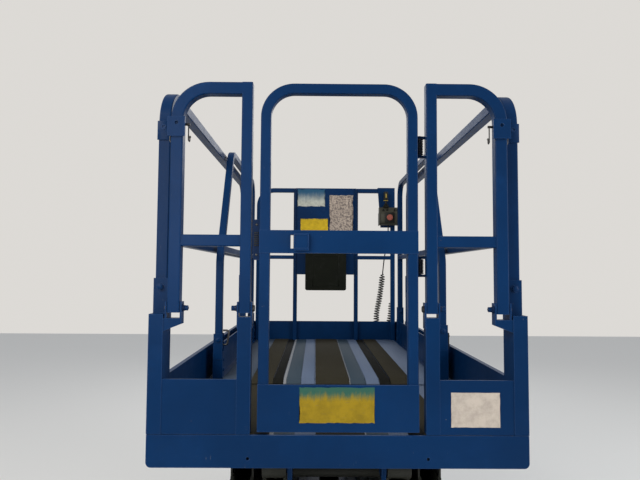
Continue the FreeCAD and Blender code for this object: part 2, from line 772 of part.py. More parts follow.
def platform_hangers():
    """Channels of the top rollers and the brackets of the rear top pins."""
    top_pin_z = base_pin_z + level_count * level_pitch
    arm_face = outer_arm_x + arm_width / 2 + 6.0
    span = (base_pin_y + top_channel_start, base_pin_y + arm_reach + top_channel_over)
    pieces = []
    for piece in roller_channel(arm_face, 1, top_pin_z, span, deck_height - beam_low):
        pieces += both_sides(piece)
    face = inner_arm_x - arm_width / 2 - 6.0
    underside = deck_height - deck_plate
    bracket = prism_x([(base_pin_y - 70, underside), (base_pin_y + 90, underside),
                       (base_pin_y + 36, top_pin_z - 30), (base_pin_y - 36, top_pin_z - 30)],
                      (face - 14.0, face))
    pin = bar((face - 14.0, base_pin_y, top_pin_z),
              (inner_arm_x + arm_width / 2, base_pin_y, top_pin_z), arm_pin_radius)
    return pieces + both_sides(joined([bracket, pin]))


def side_stub_boxes(depth_low=-19.0):
    """Right stubs under the side rail's posts, as x, y and z spans."""
    half = stub_width / 2
    x = (side_rail_x - half, side_rail_x + half)
    spans = []
    for i, y in enumerate(side_posts):
        low = depth_low if i == 0 else y - half
        spans.append((x, py(low, y + half), pz(0.0, side_pivot_z - 82.0)))
    return spans


def post_cheeks(x, y, pivot_z, foot, width):
    """Two cheeks across a rail post, with the bolt that it turns on."""
    gap = (post if width > 40 else light_post) / 2 + 2.5
    pieces = []
    for s in (-1, 1):
        low, high = y + s * gap, y + s * (gap + cheek_plate)
        pieces.append(box((x - width / 2, x + width / 2), py(low, high), pz(foot - 32.0, pivot_z + 28.0)))
    reach = gap + cheek_plate + 5.0
    first, last = py(y - reach, y + reach)
    pieces.append(bar((x, first, deck_height + pivot_z), (x, last, deck_height + pivot_z),
                      hinge_pin_radius))
    return pieces


def rail_stubs():
    """Stubs, cheeks and pins that carry the folding side rails and entry rails."""
    pieces = []
    for x, y, z in side_stub_boxes():
        pieces.append(box(x, y, z))
    foot = side_pivot_z - 82.0
    for y in side_posts:
        pieces += post_cheeks(side_rail_x, y, side_pivot_z, foot, stub_width)
    shelf_out, shelf_in = side_inner, entry_outer_x - post / 2 - 1.5 - cheek_plate
    shelf_z = deck_height + entry_pivot_z - 31.0
    shelf = prism_y([(shelf_out, shelf_z - 39), (shelf_in, shelf_z - 17), (shelf_in, shelf_z),
                     (shelf_out, shelf_z)], py(-17.0, 17.0))
    pieces.append(shelf)
    for s in (-1, 1):
        x = entry_outer_x + s * (post / 2 + 1.5)
        pieces.append(box((x, x + s * cheek_plate), py(-17.0, 17.0),
                          pz(entry_pivot_z - 35.0, entry_pivot_z + 20.0)))
        x = entry_inner_x + s * (inner_post / 2 + 1.5)
        pieces.append(box((x, x + s * cheek_plate), py(-17.0, 17.0),
                          pz(entry_pivot_z - 60.0, entry_pivot_z + 20.0)))
    inner_half = 21.0
    pieces.append(box((entry_inner_x - inner_half, entry_inner_x + inner_half), py(-19.0, 19.0),
                      pz(0.0, entry_pivot_z - 26)))
    y, z = at(0.0, entry_pivot_z)
    pieces.append(bar((entry_inner_x - 24, y, z), (entry_inner_x + 42, y, z), hinge_pin_radius))
    pieces.append(bar((entry_outer_x - 42, y, z), (entry_outer_x + 25, y, z), hinge_pin_radius))
    return [shape for piece in [joined(pieces)] for shape in both_sides(piece)]


def platform_toe_boards():
    """Side toe boards with a turned top edge, and the fixed rear toe plates."""
    side_x = side_rail_x + 4.0
    board = box((side_x, side_x + toe_plate), py(67.0, platform_length - 22.0), pz(0.0, side_toe_height))
    edge = box((side_x, platform_width / 2), py(67.0, platform_length - 22.0),
               pz(side_toe_height - 4.0, side_toe_height))
    board = cut(joined([board, edge]), [box(x, y, z) for x, y, z in side_stub_boxes()])
    rear = box((entry_inner_x + 21.0, side_inner), py(-17.0, -12.0), pz(0.0, toe_height))
    return both_sides(board) + both_sides(rear)


def side_rail():
    """Right folding rail: one bent tube for the posts and the top, and a mid rail."""
    top = rail_height - post / 2
    foot = side_pivot_z - 68.0
    rear, front = side_posts
    x = side_rail_x

    def p(y, z):
        return (x,) + at(y, z)

    size = (post, post)
    hoop = square_tube([p(rear, foot), p(rear, top), p(front, top), p(front, foot)], (1, 0, 0), size,
                       side_bend)
    rail = square_tube([p(rear, mid_rail_z), p(front, mid_rail_z)], (1, 0, 0), (light_post, light_post))
    solid = joined([hoop, rail])
    first, last = py(-50.0, platform_length)
    z = deck_height + side_pivot_z
    return cut(solid, [bar((x, first, z), (x, last, z), hinge_pin_radius + pin_gap)])


def entry_rail():
    """Right folding entry rail: a bent outer tube, an inner post, a mid rail and a lock plate."""
    top = rail_height - 10.0 - post / 2
    foot = entry_pivot_z - entry_foot

    def p(x, z):
        return (x, platform_rear, deck_height + z)

    outer = square_tube([p(entry_outer_x, foot), p(entry_outer_x, top), p(entry_inner_x, top)],
                        (0, 1, 0), (post, post), entry_bend)
    upright = square_tube([p(entry_inner_x, foot), p(entry_inner_x, top + post / 2)], (0, 1, 0),
                          (inner_post, post))
    mid_z = mid_rail_z - 10.0
    mid = square_tube([p(entry_outer_x, mid_z), p(entry_inner_x, mid_z)], (0, 1, 0),
                      (entry_mid_height, 30.0))
    y_face, y_back = py(-post / 2 - 6.0, -post / 2)
    hole_z = deck_height + lock_z[1] - 20.0
    lock = cut(box((entry_outer_x - post / 2 - 7.0, lock_outer_x), (y_face, y_back), pz(*lock_z)),
               [bar((entry_outer_x, y_face - 1, hole_z), (entry_outer_x, y_back, hole_z), lock_hole)])
    solid = joined([outer, upright, mid, lock])
    y, z = at(0.0, entry_pivot_z)
    return cut(solid, [bar((entry_inner_x - 60, y, z), (entry_outer_x + 60, y, z),
                           hinge_pin_radius + pin_gap)])


def gate_lugs():
    """Fixed hinge lugs and pins on the right entry rail's inner post."""
    face = entry_inner_x - inner_post / 2
    y, _ = at(gate_axis_y, 0.0)
    pieces = []
    for low, high in gate_hinges:
        for z in ((low, low + 8.0), (high - 8.0, high)):
            pieces.append(box((gate_axis_x - 8.0, face + 12.0), (platform_rear + post / 2, y + 8.0), pz(*z)))
        z_low, z_high = pz(low, high)
        pieces.append(bar((gate_axis_x, y, z_low), (gate_axis_x, y, z_high), gate_pin_radius))
    return pieces


def entry_gate():
    """Inward gate: bent stile tube, mid band with a latch slot and block, and a toe plate."""
    half = light_post / 2
    x = gate_half - half
    top = rail_height - 12.0 - half

    def p(side, z):
        return (side * x, platform_rear, deck_height + z)

    frame = square_tube([p(-1, gate_bottom), p(-1, top), p(1, top), p(1, gate_bottom)], (0, 1, 0),
                        (light_post, light_post), gate_bend)
    band = box((-gate_half, gate_half), py(-18.0, 12.0), pz(gate_band_low, gate_band_high))
    slot = box((-151.0, -139.0), py(-30.0, 30.0), pz(gate_band_low + 14, gate_band_high - 14))
    block = box((-139.0, -93.0), py(-30.0, -18.0), pz(gate_band_low + 8, gate_band_high - 11))
    toe = box((-gate_half, gate_half), py(-20.0, -half), pz(gate_bottom, gate_toe_height))
    return cut(joined([frame, band, block, toe]), [slot])


def gate_fittings():
    """Dark latch cover on the gate's free edge and the turning barrels of its hinges."""
    cover_z = (gate_band_low - 22.0, gate_band_high + 33.0)
    pieces = [box((-gate_half - 19.0, -gate_half), py(-10.0, 10.0), pz(*cover_z))]
    y, _ = at(gate_axis_y, 0.0)
    for low, high in gate_hinges:
        z_low, z_high = pz(low + 9.0, high - 9.0)
        barrel = bar((gate_axis_x, y, z_low), (gate_axis_x, y, z_high), gate_barrel_radius)
        leaf = box((gate_half - 26.0, gate_axis_x), (platform_rear + light_post / 2, y + 4.0),
                   (z_low, z_high))
        bore = bar((gate_axis_x, y, z_low - 1), (gate_axis_x, y, z_high + 1), gate_pin_radius + pin_gap)
        pieces.append(cut(joined([barrel, leaf]), [bore]))
    return pieces


# Extension deck
def extension_deck():
    """Sliding deck plate with runners, toe boards and the stubs of its rails."""
    z_low = extension_gap
    z_top = extension_gap + extension_plate
    slab = box((-extension_half, extension_half), py(extension_rear, extension_front - 6.0),
               pz(z_low, z_top))
    pieces = [slab]
    pieces += both_sides(box(runner_x, py(extension_rear, extension_rear + runner_length),
                             pz(0.3, z_low)))
    pieces.append(box((-extension_half + 12, extension_half - 12),
                      py(extension_front - 6.0, extension_front), pz(z_low, 147.0)))
    for side in (-1, 1):
        pivot = extension_pivots[side]
        foot = pivot - 55.0
        x = side * extension_rail_x
        half = stub_width / 2
        for y in extension_posts:
            pieces.append(box((x - half, x + half), py(y - 20.0, y + 20.0), pz(z_top, foot)))
            pieces += post_cheeks(x, y, pivot, foot, 40.0)
        first, last = extension_posts
        pieces.append(box((x - 3.0, x + 3.0), py(first + 18.0, last - 18.0), pz(z_top, extension_toe - 45)))
        pieces.append(box((x - 3.0, x + 3.0), py(first + 30.0, last - 30.0), pz(z_top, extension_toe)))
        pieces.append(box((x - 3.0, x + 3.0), py(last + 30.0, extension_front - 6.0),
                          pz(z_top, extension_toe - 13.0)))
    return joined(pieces)


def extension_rail(side):
    """Folding extension rail: a leaning rear post, a top tube, a front post and a mid rail."""
    pivot = extension_pivots[side]
    foot = pivot - 43.0
    top = extension_rail_top - light_post / 2
    rear, front = extension_posts
    x = side * extension_rail_x

    def p(y, z):
        return (x,) + at(y, z)

    size = (light_post, light_post)
    hoop = square_tube([p(rear, foot), p(rear, extension_lean_z), p(extension_lean_y, top),
                        p(front, top), p(front, foot)], (1, 0, 0), size, extension_bend)
    lean = (mid_rail_z - extension_lean_z) / (top - extension_lean_z)
    start = rear + (extension_lean_y - rear) * lean
    mid = square_tube([p(start, mid_rail_z), p(front, mid_rail_z)], (1, 0, 0), (28.0, 28.0))
    z = deck_height + pivot
    first, last = py(extension_rear - 60.0, extension_front)
    return cut(joined([hoop, mid]), [bar((x, first, z), (x, last, z), hinge_pin_radius + pin_gap)])


def front_rail():
    """Fixed front rail: a bent tube, two inner posts, a mid rail, a panel and the control plate."""
    top = front_rail_top - front_post / 2
    foot = extension_gap + extension_plate

    def p(x, z):
        return (x,) + at(front_rail_y, z)

    hoop = square_tube([p(-front_post_x, foot), p(-front_post_x, top), p(front_post_x, top),
                        p(front_post_x, foot)], (0, 1, 0), (front_post, front_post), front_bend)
    uprights = [square_tube([p(s * front_inner_x, foot), p(s * front_inner_x, top)], (0, 1, 0),
                            (front_inner_post, front_post)) for s in (-1, 1)]
    mid = square_tube([p(-front_post_x, mid_rail_z), p(front_post_x, mid_rail_z)], (0, 1, 0),
                      (26.0, front_post))
    face = front_rail_y - front_post / 2
    panel = box((-front_inner_x, front_inner_x), py(face - panel_sheet, face), pz(panel_low, front_rail_top))
    plate_low, plate_high = control_z[0] - 15.0, front_rail_top
    left, right = control_plate_x
    control = prism_y([(left, deck_height + plate_high), (left + 20, deck_height + plate_low),
                       (right, deck_height + plate_low), (right, deck_height + plate_high)],
                      py(face - panel_sheet, face))
    back = front_rail_y + front_post / 2
    hook = box(control_plate_x, py(face - panel_sheet, back), pz(front_rail_top, rail_height))
    clamp = box((front_post_x - cord_clamp_half, front_post_x + cord_clamp_half),
                py(back, back + cord_clamp_depth), pz(*cord_clamp_z))
    return joined([hoop, mid, panel, control, hook, clamp] + uprights)


def manual_box():
    """Open-topped box for papers on the front panel."""
    face = front_rail_y - front_post / 2 - panel_sheet
    x = (-manual_half, manual_half)
    outer = box(x, py(face - manual_depth, face), pz(manual_low, manual_high))
    low_edges = [e for e in outer.Edges if abs(e.tangentAt(0).y) > 0.9
                 and e.CenterOfMass.z < deck_height + (manual_low + manual_high) / 2]
    outer = outer.makeFillet(14.0, low_edges)
    wall = manual_wall
    inner = box((x[0] + wall, x[1] - wall), py(face - manual_depth + wall, face - wall),
                pz(manual_low + wall + 10, manual_high + 1))
    return cut(outer, [inner])


def control_box():
    """Platform control housing: deep lower body, sloped face and side guards."""
    y0, y1 = py(*control_y)
    z0, z1 = pz(*control_z)
    outline = [(y1, z0), (y0 + 12, z0), (y0, z0 + 14), (y0, z1 - 46), (y0 + 34, z1), (y1, z1)]
    return prism_x(outline, control_x)


def control_button():
    x = (control_x[0] + control_x[1]) / 2 - 4.0
    y, z = at(control_y[0], control_z[0] + 50.0)
    return joined([bar((x, y - 8, z), (x, y, z), 12.0), bar((x, y - 20, z), (x, y - 8, z), 20.0)])


def control_stick():
    """Joystick with a gaiter and a grip, standing on the housing's top."""
    x = (control_x[0] + control_x[1]) / 2 - 24.0
    y = platform_rear + control_y[1] - 30.0
    z = deck_height + control_z[1]
    return joined([Part.makeCone(24.0, 10.0, 26.0, V(x, y, z)), bar((x, y, z + 20), (x, y, z + 60), 8.0),
                   bar((x, y, z + 55), (x, y, z + 112), 15.0)])


make_wheels()

save("chassis_spine", chassis_spine())
save("end_plates", end_plates())
save("wheel_covers", wheel_covers())
save("guard_arms", guard_arms())
save("rear_axle", rear_axle())
save("front_axle", front_axle())
save("entry_ladder", [entry_ladder()])
save("scissor_base", scissor_base())
save("knuckle_right", [knuckle()])
save("knuckle_left", [mirrored(knuckle())])
save("module_right", [module_cover()])
save("module_left", [mirrored(module_cover())])
save("battery_pack", [battery_pack()])
save("pothole_guard_right", [pothole_guard()])
save("pothole_guard_left", [mirrored(pothole_guard())])

for level in range(1, level_count + 1):
    save("outer_arms_%d" % level, scissor_arm(level, "outer"))
    save("inner_arms_%d" % level, scissor_arm(level, "inner"))
lift_barrel, lift_rod = cylinder_parts()
save("lift_barrel", [lift_barrel])
save("lift_rod", [lift_rod])

save("platform_deck", [platform_deck()])
save("platform_sides", platform_sides())
save("rear_skirt", [rear_skirt()])
save("platform_beams", platform_beams())
save("platform_hangers", platform_hangers())
save("platform_toe_boards", platform_toe_boards())
save("rail_stubs", rail_stubs())
save("side_rail_right", [side_rail()])
save("side_rail_left", [mirrored(side_rail())])
save("entry_rail_right", [joined([entry_rail()] + gate_lugs())])
save("entry_rail_left", [mirrored(entry_rail())])
save("entry_gate", [entry_gate()])
save("gate_fittings", gate_fittings())

save("extension_deck", [extension_deck()])
save("extension_rail_left", [extension_rail(-1)])
save("extension_rail_right", [extension_rail(1)])
save("front_rail", [front_rail()])
save("manual_box", [manual_box()])
save("control_box", [control_box()])
save("control_button", [control_button()])
save("control_stick", [control_stick()])
save("cord_ends", [round_route("cord_lead", lead_route, cord_radius),
                   round_route("cord_tail", tail_route, cord_radius)])
save("cord_curl", [round_route("cord_curl", curl_route, curl_radius)])
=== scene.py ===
"""Looks of the scissor lift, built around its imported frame."""

import bmesh
import bpy
import math
import random
from mathutils import Matrix, Vector


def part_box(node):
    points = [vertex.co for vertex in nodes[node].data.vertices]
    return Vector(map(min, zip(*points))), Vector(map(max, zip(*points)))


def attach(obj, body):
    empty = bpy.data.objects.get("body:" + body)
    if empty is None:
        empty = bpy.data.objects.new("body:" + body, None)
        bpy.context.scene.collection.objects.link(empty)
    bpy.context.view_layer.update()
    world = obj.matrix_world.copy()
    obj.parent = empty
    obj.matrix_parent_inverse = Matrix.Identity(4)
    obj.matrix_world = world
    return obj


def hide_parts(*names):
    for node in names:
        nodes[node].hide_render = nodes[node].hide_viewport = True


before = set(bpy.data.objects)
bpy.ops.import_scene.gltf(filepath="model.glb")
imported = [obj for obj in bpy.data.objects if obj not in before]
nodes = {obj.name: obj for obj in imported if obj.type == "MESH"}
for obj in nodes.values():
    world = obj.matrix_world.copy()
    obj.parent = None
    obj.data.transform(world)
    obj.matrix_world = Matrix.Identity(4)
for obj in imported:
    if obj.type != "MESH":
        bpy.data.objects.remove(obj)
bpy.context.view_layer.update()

# Sizes and places repeated from the part's source, in metres
HALF_WIDTH = 0.585
REAR = -1.130
DECK = 1.160
EXTENSION_DECK_TOP = DECK + 0.018
SIDE_X = 0.561
SIDE_PIVOT = 0.444
SIDE_POSTS = (0.053, 2.020)
ENTRY_OUTER = 0.509
ENTRY_INNER = 0.290
ENTRY_PIVOT = 0.380
EXTENSION_X = 0.510
EXTENSION_POSTS = (0.820, 2.090)
EXTENSION_PIVOTS = {-1: 0.185, 1: 0.230}
PANEL_FACE = 2.216
PANEL_HALF = 0.216
GATE_HINGE = (0.258, 0.020)
GATE_BARRELS = ((0.489, 0.536), (0.869, 0.921))
LEVELS = 4
LEVEL_PITCH = 0.135
ARM_LENGTH = 2.050
ARM_FACE = 0.348
REAR_PIN = -1.030
BASE_PIN = 0.485
SIDES = ((-1, "left"), (1, "right"))
WHEELS = [(end, word) for end in ("front", "rear") for word in ("left", "right")]


def at(x, y, z):
    """Place given from the platform's rear and its deck."""
    return Vector((x, REAR + y, DECK + z))


def show(name, data):
    """New object of the data, put into the scene."""
    obj = bpy.data.objects.new(name, data)
    bpy.context.scene.collection.objects.link(obj)
    return obj


# Node trees
class Tree:
    """Short calls for building one material."""

    def __init__(self, name):
        self.material = bpy.data.materials.new(name)
        self.material.use_nodes = True
        self.nodes = self.material.node_tree.nodes
        self.links = self.material.node_tree.links
        self.shader = self.nodes["Principled BSDF"]
        self.place = self.add("ShaderNodeTexCoord").outputs["Object"]

    def add(self, kind, **values):
        """New node with its settings."""
        node = self.nodes.new(kind)
        for key, value in values.items():
            setattr(node, key, value)
        return node

    def feed(self, value, socket):
        """Give a socket a number, a colour or another node's output."""
        if isinstance(value, (int, float)):
            socket.default_value = value
        elif isinstance(value, tuple):
            socket.default_value = (*value, 1.0)
        else:
            self.links.new(value, socket)

    def axis(self, letter):
        """One coordinate of the place."""
        node = self.add("ShaderNodeSeparateXYZ")
        self.feed(self.place, node.inputs["Vector"])
        return node.outputs[letter]

    def stretch(self, scale):
        """Place multiplied along each axis, for streaks and bands."""
        node = self.add("ShaderNodeMapping")
        node.inputs["Scale"].default_value = scale
        self.feed(self.place, node.inputs["Vector"])
        return node.outputs["Vector"]

    def noise(self, scale, detail=4.0, rough=0.55, vector=None, distortion=0.0):
        """Cloudy 0 to 1 pattern over the place, or over another vector."""
        node = self.add("ShaderNodeTexNoise")
        node.inputs["Scale"].default_value = scale
        node.inputs["Detail"].default_value = detail
        node.inputs["Roughness"].default_value = rough
        node.inputs["Distortion"].default_value = distortion
        self.feed(vector or self.place, node.inputs["Vector"])
        return node.outputs["Fac"]

    def bands(self, value, stops):
        """Flat colours, each of them from its own position on."""
        node = self.add("ShaderNodeValToRGB")
        node.color_ramp.interpolation = "CONSTANT"
        items = node.color_ramp.elements
        while len(items) < len(stops):
            items.new(1.0)
        for item, (spot, colour) in zip(items, stops):
            item.position = spot
            item.color = (*colour, 1.0)
        self.feed(value, node.inputs["Fac"])
        return node.outputs["Color"]

    def step(self, value, low, high, kind="SMOOTHSTEP"):
        """Value turned to 0 below low and 1 above high."""
        node = self.add("ShaderNodeMapRange", interpolation_type=kind)
        node.inputs["From Min"].default_value = low
        node.inputs["From Max"].default_value = high
        self.feed(value, node.inputs["Value"])
        return node.outputs["Result"]

    def span(self, value, low, high):
        """A 0 to 1 value spread between low and high."""
        node = self.add("ShaderNodeMapRange")
        node.inputs["To Min"].default_value = low
        node.inputs["To Max"].default_value = high
        self.feed(value, node.inputs["Value"])
        return node.outputs["Result"]

    def maths(self, kind, a, b, clamp=True):
        """Two values combined, and kept between 0 and 1 unless told otherwise."""
        node = self.add("ShaderNodeMath", operation=kind, use_clamp=clamp)
        self.feed(a, node.inputs[0])
        self.feed(b, node.inputs[1])
        return node.outputs["Value"]

    def times(self, a, b):
        """Two values multiplied."""
        return self.maths("MULTIPLY", a, b)

    def mix(self, factor, a, b):
        """Colour a turned into colour b by the factor."""
        node = self.add("ShaderNodeMix", data_type="RGBA")
        for value, socket in ((factor, node.inputs[0]), (a, node.inputs[6]), (b, node.inputs[7])):
            self.feed(value, socket)
        return node.outputs[2]

    def edges(self, width):
        """1 along hard edges and 0 on flats."""
        soft = self.add("ShaderNodeBevel", samples=4)
        soft.inputs["Radius"].default_value = width
        true = self.add("ShaderNodeNewGeometry")
        dot = self.add("ShaderNodeVectorMath", operation="DOT_PRODUCT")
        self.feed(soft.outputs["Normal"], dot.inputs[0])
        self.feed(true.outputs["Normal"], dot.inputs[1])
        return self.maths("SUBTRACT", 1.0, dot.outputs["Value"])

    def bump(self, height, strength, distance):
        """Give the shader a fine relief."""
        node = self.add("ShaderNodeBump")
        node.inputs["Strength"].default_value = strength
        node.inputs["Distance"].default_value = distance
        self.feed(height, node.inputs["Height"])
        self.feed(node.outputs["Normal"], self.shader.inputs["Normal"])

    def put(self, colour, rough, metal=0.0, **fixed):
        """Feed the shader. Other sockets are named with underscores for spaces."""
        for name, value in (("Base Color", colour), ("Roughness", rough), ("Metallic", metal)):
            self.feed(value, self.shader.inputs[name])
        for name, value in fixed.items():
            self.shader.inputs[name.replace("_", " ")].default_value = value
        return self.material


# Wear and gloss, shared by the paints
GRIME = (0.018, 0.020, 0.022)
RUST = (0.070, 0.048, 0.035)
GREY_PRIMER = (0.16, 0.17, 0.18)
PAINT_GLOSS = 0.09


def paint(name, colour, chips, dirt, primer=GREY_PRIMER):
    """Worn enamel: faded patches, thin scratches, chipped edges and grime, and a painted highlight that
    lightens every hard edge.
    """
    t = Tree(name)
    dark = tuple(c * 0.80 for c in colour)
    faded = tuple(c * 1.18 + 0.0015 for c in colour)
    edge_highlight = tuple(c * 2.1 + 0.04 for c in colour)
    base = t.mix(t.step(t.noise(2.3, 5.0, 0.6), 0.35, 0.68), dark, colour)
    base = t.mix(t.times(t.step(t.noise(6.0, 6.0, 0.7), 0.52, 0.75), 0.5), base, faded)
    grime = t.times(t.step(t.noise(9.0, 8.0, 0.75, distortion=0.4), 0.54, 0.80), dirt)
    base = t.mix(grime, base, GRIME)
    upright = t.noise(34.0, 3.0, 0.5, t.stretch((1.0, 1.0, 14.0)))
    level = t.noise(30.0, 3.0, 0.5, t.stretch((13.0, 13.0, 1.0)))
    scratches = t.maths("MAXIMUM", t.step(upright, 0.735, 0.76), t.step(level, 0.745, 0.77))
    scratches = t.times(scratches, t.step(t.noise(3.1, 2.0), 0.50, 0.62))
    edge = t.step(t.edges(0.003), 0.06, 0.24)
    # Painted highlight: hard edges are mixed towards a paler copy of the paint, as if light caught them.
    base = t.mix(t.times(edge, 0.5), base, edge_highlight)
    chip = t.times(edge, t.step(t.noise(55.0, 5.0, 0.7), 0.66 - 0.06 * chips, 0.72))
    spots = t.step(t.noise(120.0, 2.0, 0.5), 0.785, 0.80)
    bare = t.maths("MAXIMUM", chip, t.times(t.maths("MAXIMUM", scratches, spots), 0.6))
    steel = t.mix(t.step(t.noise(80.0, 4.0), 0.50, 0.65), primer, RUST)
    base = t.mix(bare, base, steel)
    rough = t.maths("ADD", t.span(t.noise(14.0, 5.0, 0.7), 0.24, 0.46), t.times(grime, 0.5))
    peel = t.maths("SUBTRACT", t.times(t.noise(260.0, 2.0), 0.25), t.times(bare, 0.5))
    t.bump(t.maths("ADD", peel, 0.5), 0.15, 0.0012)
    return t.put(base, rough, Specular_IOR_Level=PAINT_GLOSS)


def plain(name, colour, rough, grain, metal=0.0, depth=0.0006, vary=0.25, **fixed):
    """Moulded or machined surface with a fine grain and slow colour change."""
    t = Tree(name)
    shade = tuple(c * (1.0 - vary) for c in colour)
    dusty = tuple(c * 0.5 + 0.03 for c in colour)
    base = t.mix(t.step(t.noise(11.0, 5.0, 0.65), 0.35, 0.7), shade, colour)
    dust = t.times(t.step(t.noise(23.0, 7.0, 0.75), 0.52, 0.8), 0.35)
    base = t.mix(dust, base, dusty)
    smoothest, roughest = max(rough - 0.12, 0.03), min(rough + 0.15, 1.0)
    t.bump(t.noise(grain * 6.0, 3.0), 0.25, depth)
    return t.put(base, t.span(t.noise(35.0, 5.0, 0.7), smoothest, roughest), metal, **fixed)


def deck_finish(name, strips):
    """Grit strips and worn smooth strips that run along the deck, with painted shadow, painted shade and
    painted light in some of the strips' colours.
    """
    black_speck, bared, scored = (0.014, 0.012, 0.008), (0.085, 0.080, 0.070), (0.14, 0.15, 0.16)
    t = Tree(name)
    wobble = t.maths("SUBTRACT", t.times(t.noise(30.0, 4.0), 0.006), 0.003)
    across = t.maths("ADD", t.axis("X"), wobble, clamp=False)
    across = t.step(across, -HALF_WIDTH, HALF_WIDTH, "LINEAR")
    starts = [(x + HALF_WIDTH) / (2 * HALF_WIDTH) for x, _, _ in strips]
    base = t.bands(across, [(start, colour) for start, (_, colour, _) in zip(starts, strips)])
    grit = t.bands(across, [(start, (g, g, g)) for start, (_, _, g) in zip(starts, strips)])
    speck = t.times(t.step(t.noise(420.0, 3.0, 0.7), 0.42, 0.62), grit)
    base = t.mix(t.times(speck, 0.5), base, black_speck)
    worn = t.step(t.noise(5.0, 7.0, 0.75, t.stretch((3.0, 1.0, 1.0))), 0.50, 0.72)
    base = t.mix(t.times(worn, 0.10), base, bared)
    lines = t.step(t.noise(60.0, 3.0, 0.5, t.stretch((14.0, 1.0, 1.0))), 0.72, 0.75)
    base = t.mix(t.times(lines, 0.3), base, scored)
    t.bump(t.times(t.noise(700.0, 2.0), grit), 0.6, 0.0012)
    return t.put(base, t.maths("ADD", t.times(grit, 0.45), 0.45), Specular_IOR_Level=0.10)


def worn_film(name, colour, under, wear, top=None, top_z=None, mottle=None):
    """Plain film that has rubbed away in patches, and can fade to another colour at its top."""
    t = Tree(name)
    shade = tuple(c * 0.72 for c in colour)
    tone = t.mix(t.step(t.noise(24.0, 6.0, 0.7), 0.35, 0.7), colour, shade)
    if mottle:
        tone = t.mix(t.step(t.noise(70.0, 5.0, 0.7), 0.44, 0.60), tone, mottle)
    if top:
        drift = t.times(t.noise(60.0, 5.0, 0.7, t.stretch((1.0, 1.0, 0.25))), 0.06)
        height = t.maths("ADD", t.axis("Z"), drift, clamp=False)
        mean_drift = 0.03
        tone = t.mix(t.step(height, top_z[0] + mean_drift, top_z[1] + mean_drift), tone, top)
    eased = 0.25 * wear
    gone = t.step(t.noise(38.0, 8.0, 0.78, distortion=0.6), 0.72 - eased, 0.78 - eased)
    thin = t.step(t.noise(75.0, 4.0, 0.6, t.stretch((0.6, 1.0, 6.0))), 0.62, 0.70)
    lost = t.maths("MAXIMUM", gone, t.times(thin, wear))
    t.bump(t.maths("SUBTRACT", 1.0, lost), 0.3, 0.0004)
    return t.put(t.mix(lost, tone, under), t.span(t.noise(50.0, 4.0), 0.40, 0.65), Specular_IOR_Level=0.2)


# Materials
BLUE = (0.0014, 0.0230, 0.083)
OLIVE = (0.038, 0.033, 0.020)
# Slate: the deck's blue in shade, painted shade for the shaded slope of each smooth channel.
SHADED_SLOPE_SLATE = (0.038, 0.061, 0.083)
# Pale light blue: the deck's own paint at the right edge, and painted light where it stands for a channel's
# lit slope.
PALE_PAINT_AND_LIT_SLOPE = (0.115, 0.155, 0.235)
DIM = (0.052, 0.074, 0.108)
# Near black for the slots beside the grit strips: painted shadow, where the raised strips shade them.
GAP_SHADOW = (0.0035, 0.0035, 0.0018)
LINE = (0.24, 0.25, 0.26)
rail_paint = paint("rail_paint", BLUE, chips=0.55, dirt=0.12)
platform_paint = paint("platform_paint", (0.0010, 0.0220, 0.080), chips=0.8, dirt=0.12)
latch_paint = paint("latch_paint", (0.0030, 0.014, 0.048), chips=0.4, dirt=0.2)
chassis_paint = paint("chassis_paint", (0.0046, 0.034, 0.112), chips=0.9, dirt=0.45)
arm_paint = paint("arm_paint", (0.036, 0.037, 0.031), chips=0.9, dirt=0.65, primer=(0.22, 0.22, 0.21))
rim_paint = paint("rim_paint", (0.42, 0.42, 0.40), chips=0.9, dirt=0.6)
tyre_rubber = plain("tyre_rubber", (0.26, 0.26, 0.245), rough=0.78, grain=50.0, depth=0.0010,
                    Specular_IOR_Level=0.25)
bright_steel = plain("bright_steel", (0.46, 0.46, 0.45), rough=0.34, metal=1.0, grain=70.0, vary=0.4)
dark_steel = plain("dark_steel", (0.11, 0.105, 0.10), rough=0.45, metal=1.0, grain=70.0, vary=0.5)
black_steel = plain("black_steel", (0.020, 0.020, 0.021), rough=0.42, metal=0.4, grain=70.0, vary=0.4)
chrome = plain("chrome", (0.75, 0.76, 0.78), rough=0.16, metal=1.0, grain=40.0, depth=0.0001, vary=0.1)
black_plastic = plain("black_plastic", (0.011, 0.012, 0.009), rough=0.50, grain=160.0, depth=0.0005,
                      Specular_IOR_Level=0.25)
black_box = plain("black_box", (0.0048, 0.0058, 0.0028), rough=0.48, grain=120.0, depth=0.0004,
                  Specular_IOR_Level=0.10)
olive_box = plain("olive_box", (0.052, 0.050, 0.032), rough=0.48, grain=120.0, depth=0.0004, vary=0.45,
                  Specular_IOR_Level=0.3)
red_plastic = plain("red_plastic", (0.34, 0.075, 0.045), rough=0.38, grain=60.0, depth=0.0002)
cord_rubber = plain("cord_rubber", (0.0070, 0.0065, 0.0060), rough=0.55, grain=90.0, depth=0.0002,
                    Specular_IOR_Level=0.3)
yellow_plastic = plain("yellow_plastic", (0.42, 0.29, 0.035), rough=0.5, grain=60.0, depth=0.0003)
tag_film = worn_film("tag_film", (0.46, 0.40, 0.34), (0.20, 0.18, 0.16), 0.12)
gate_film = worn_film("gate_film", (0.27, 0.180, 0.005), (0.008, 0.045, 0.13), 0.18,
                      top=(0.022, 0.085, 0.060), top_z=(DECK + 0.098, DECK + 0.132))
panel_yellow = worn_film("panel_yellow", (0.60, 0.40, 0.012), (0.010, 0.05, 0.14), 0.22,
                         top=(0.20, 0.17, 0.03), top_z=(DECK + 0.86, DECK + 0.89))
panel_green = worn_film("panel_green", (0.46, 0.47, 0.40), (0.012, 0.060, 0.16), 0.45,
                        top=(0.012, 0.070, 0.135), top_z=(DECK + 0.985, DECK + 1.070))
panel_pale = worn_film("panel_pale", (0.44, 0.36, 0.29), (0.20, 0.17, 0.15), 0.35,
                       top=(0.14, 0.17, 0.18), top_z=(DECK + 1.03, DECK + 1.08),
                       mottle=(0.13, 0.105, 0.095))
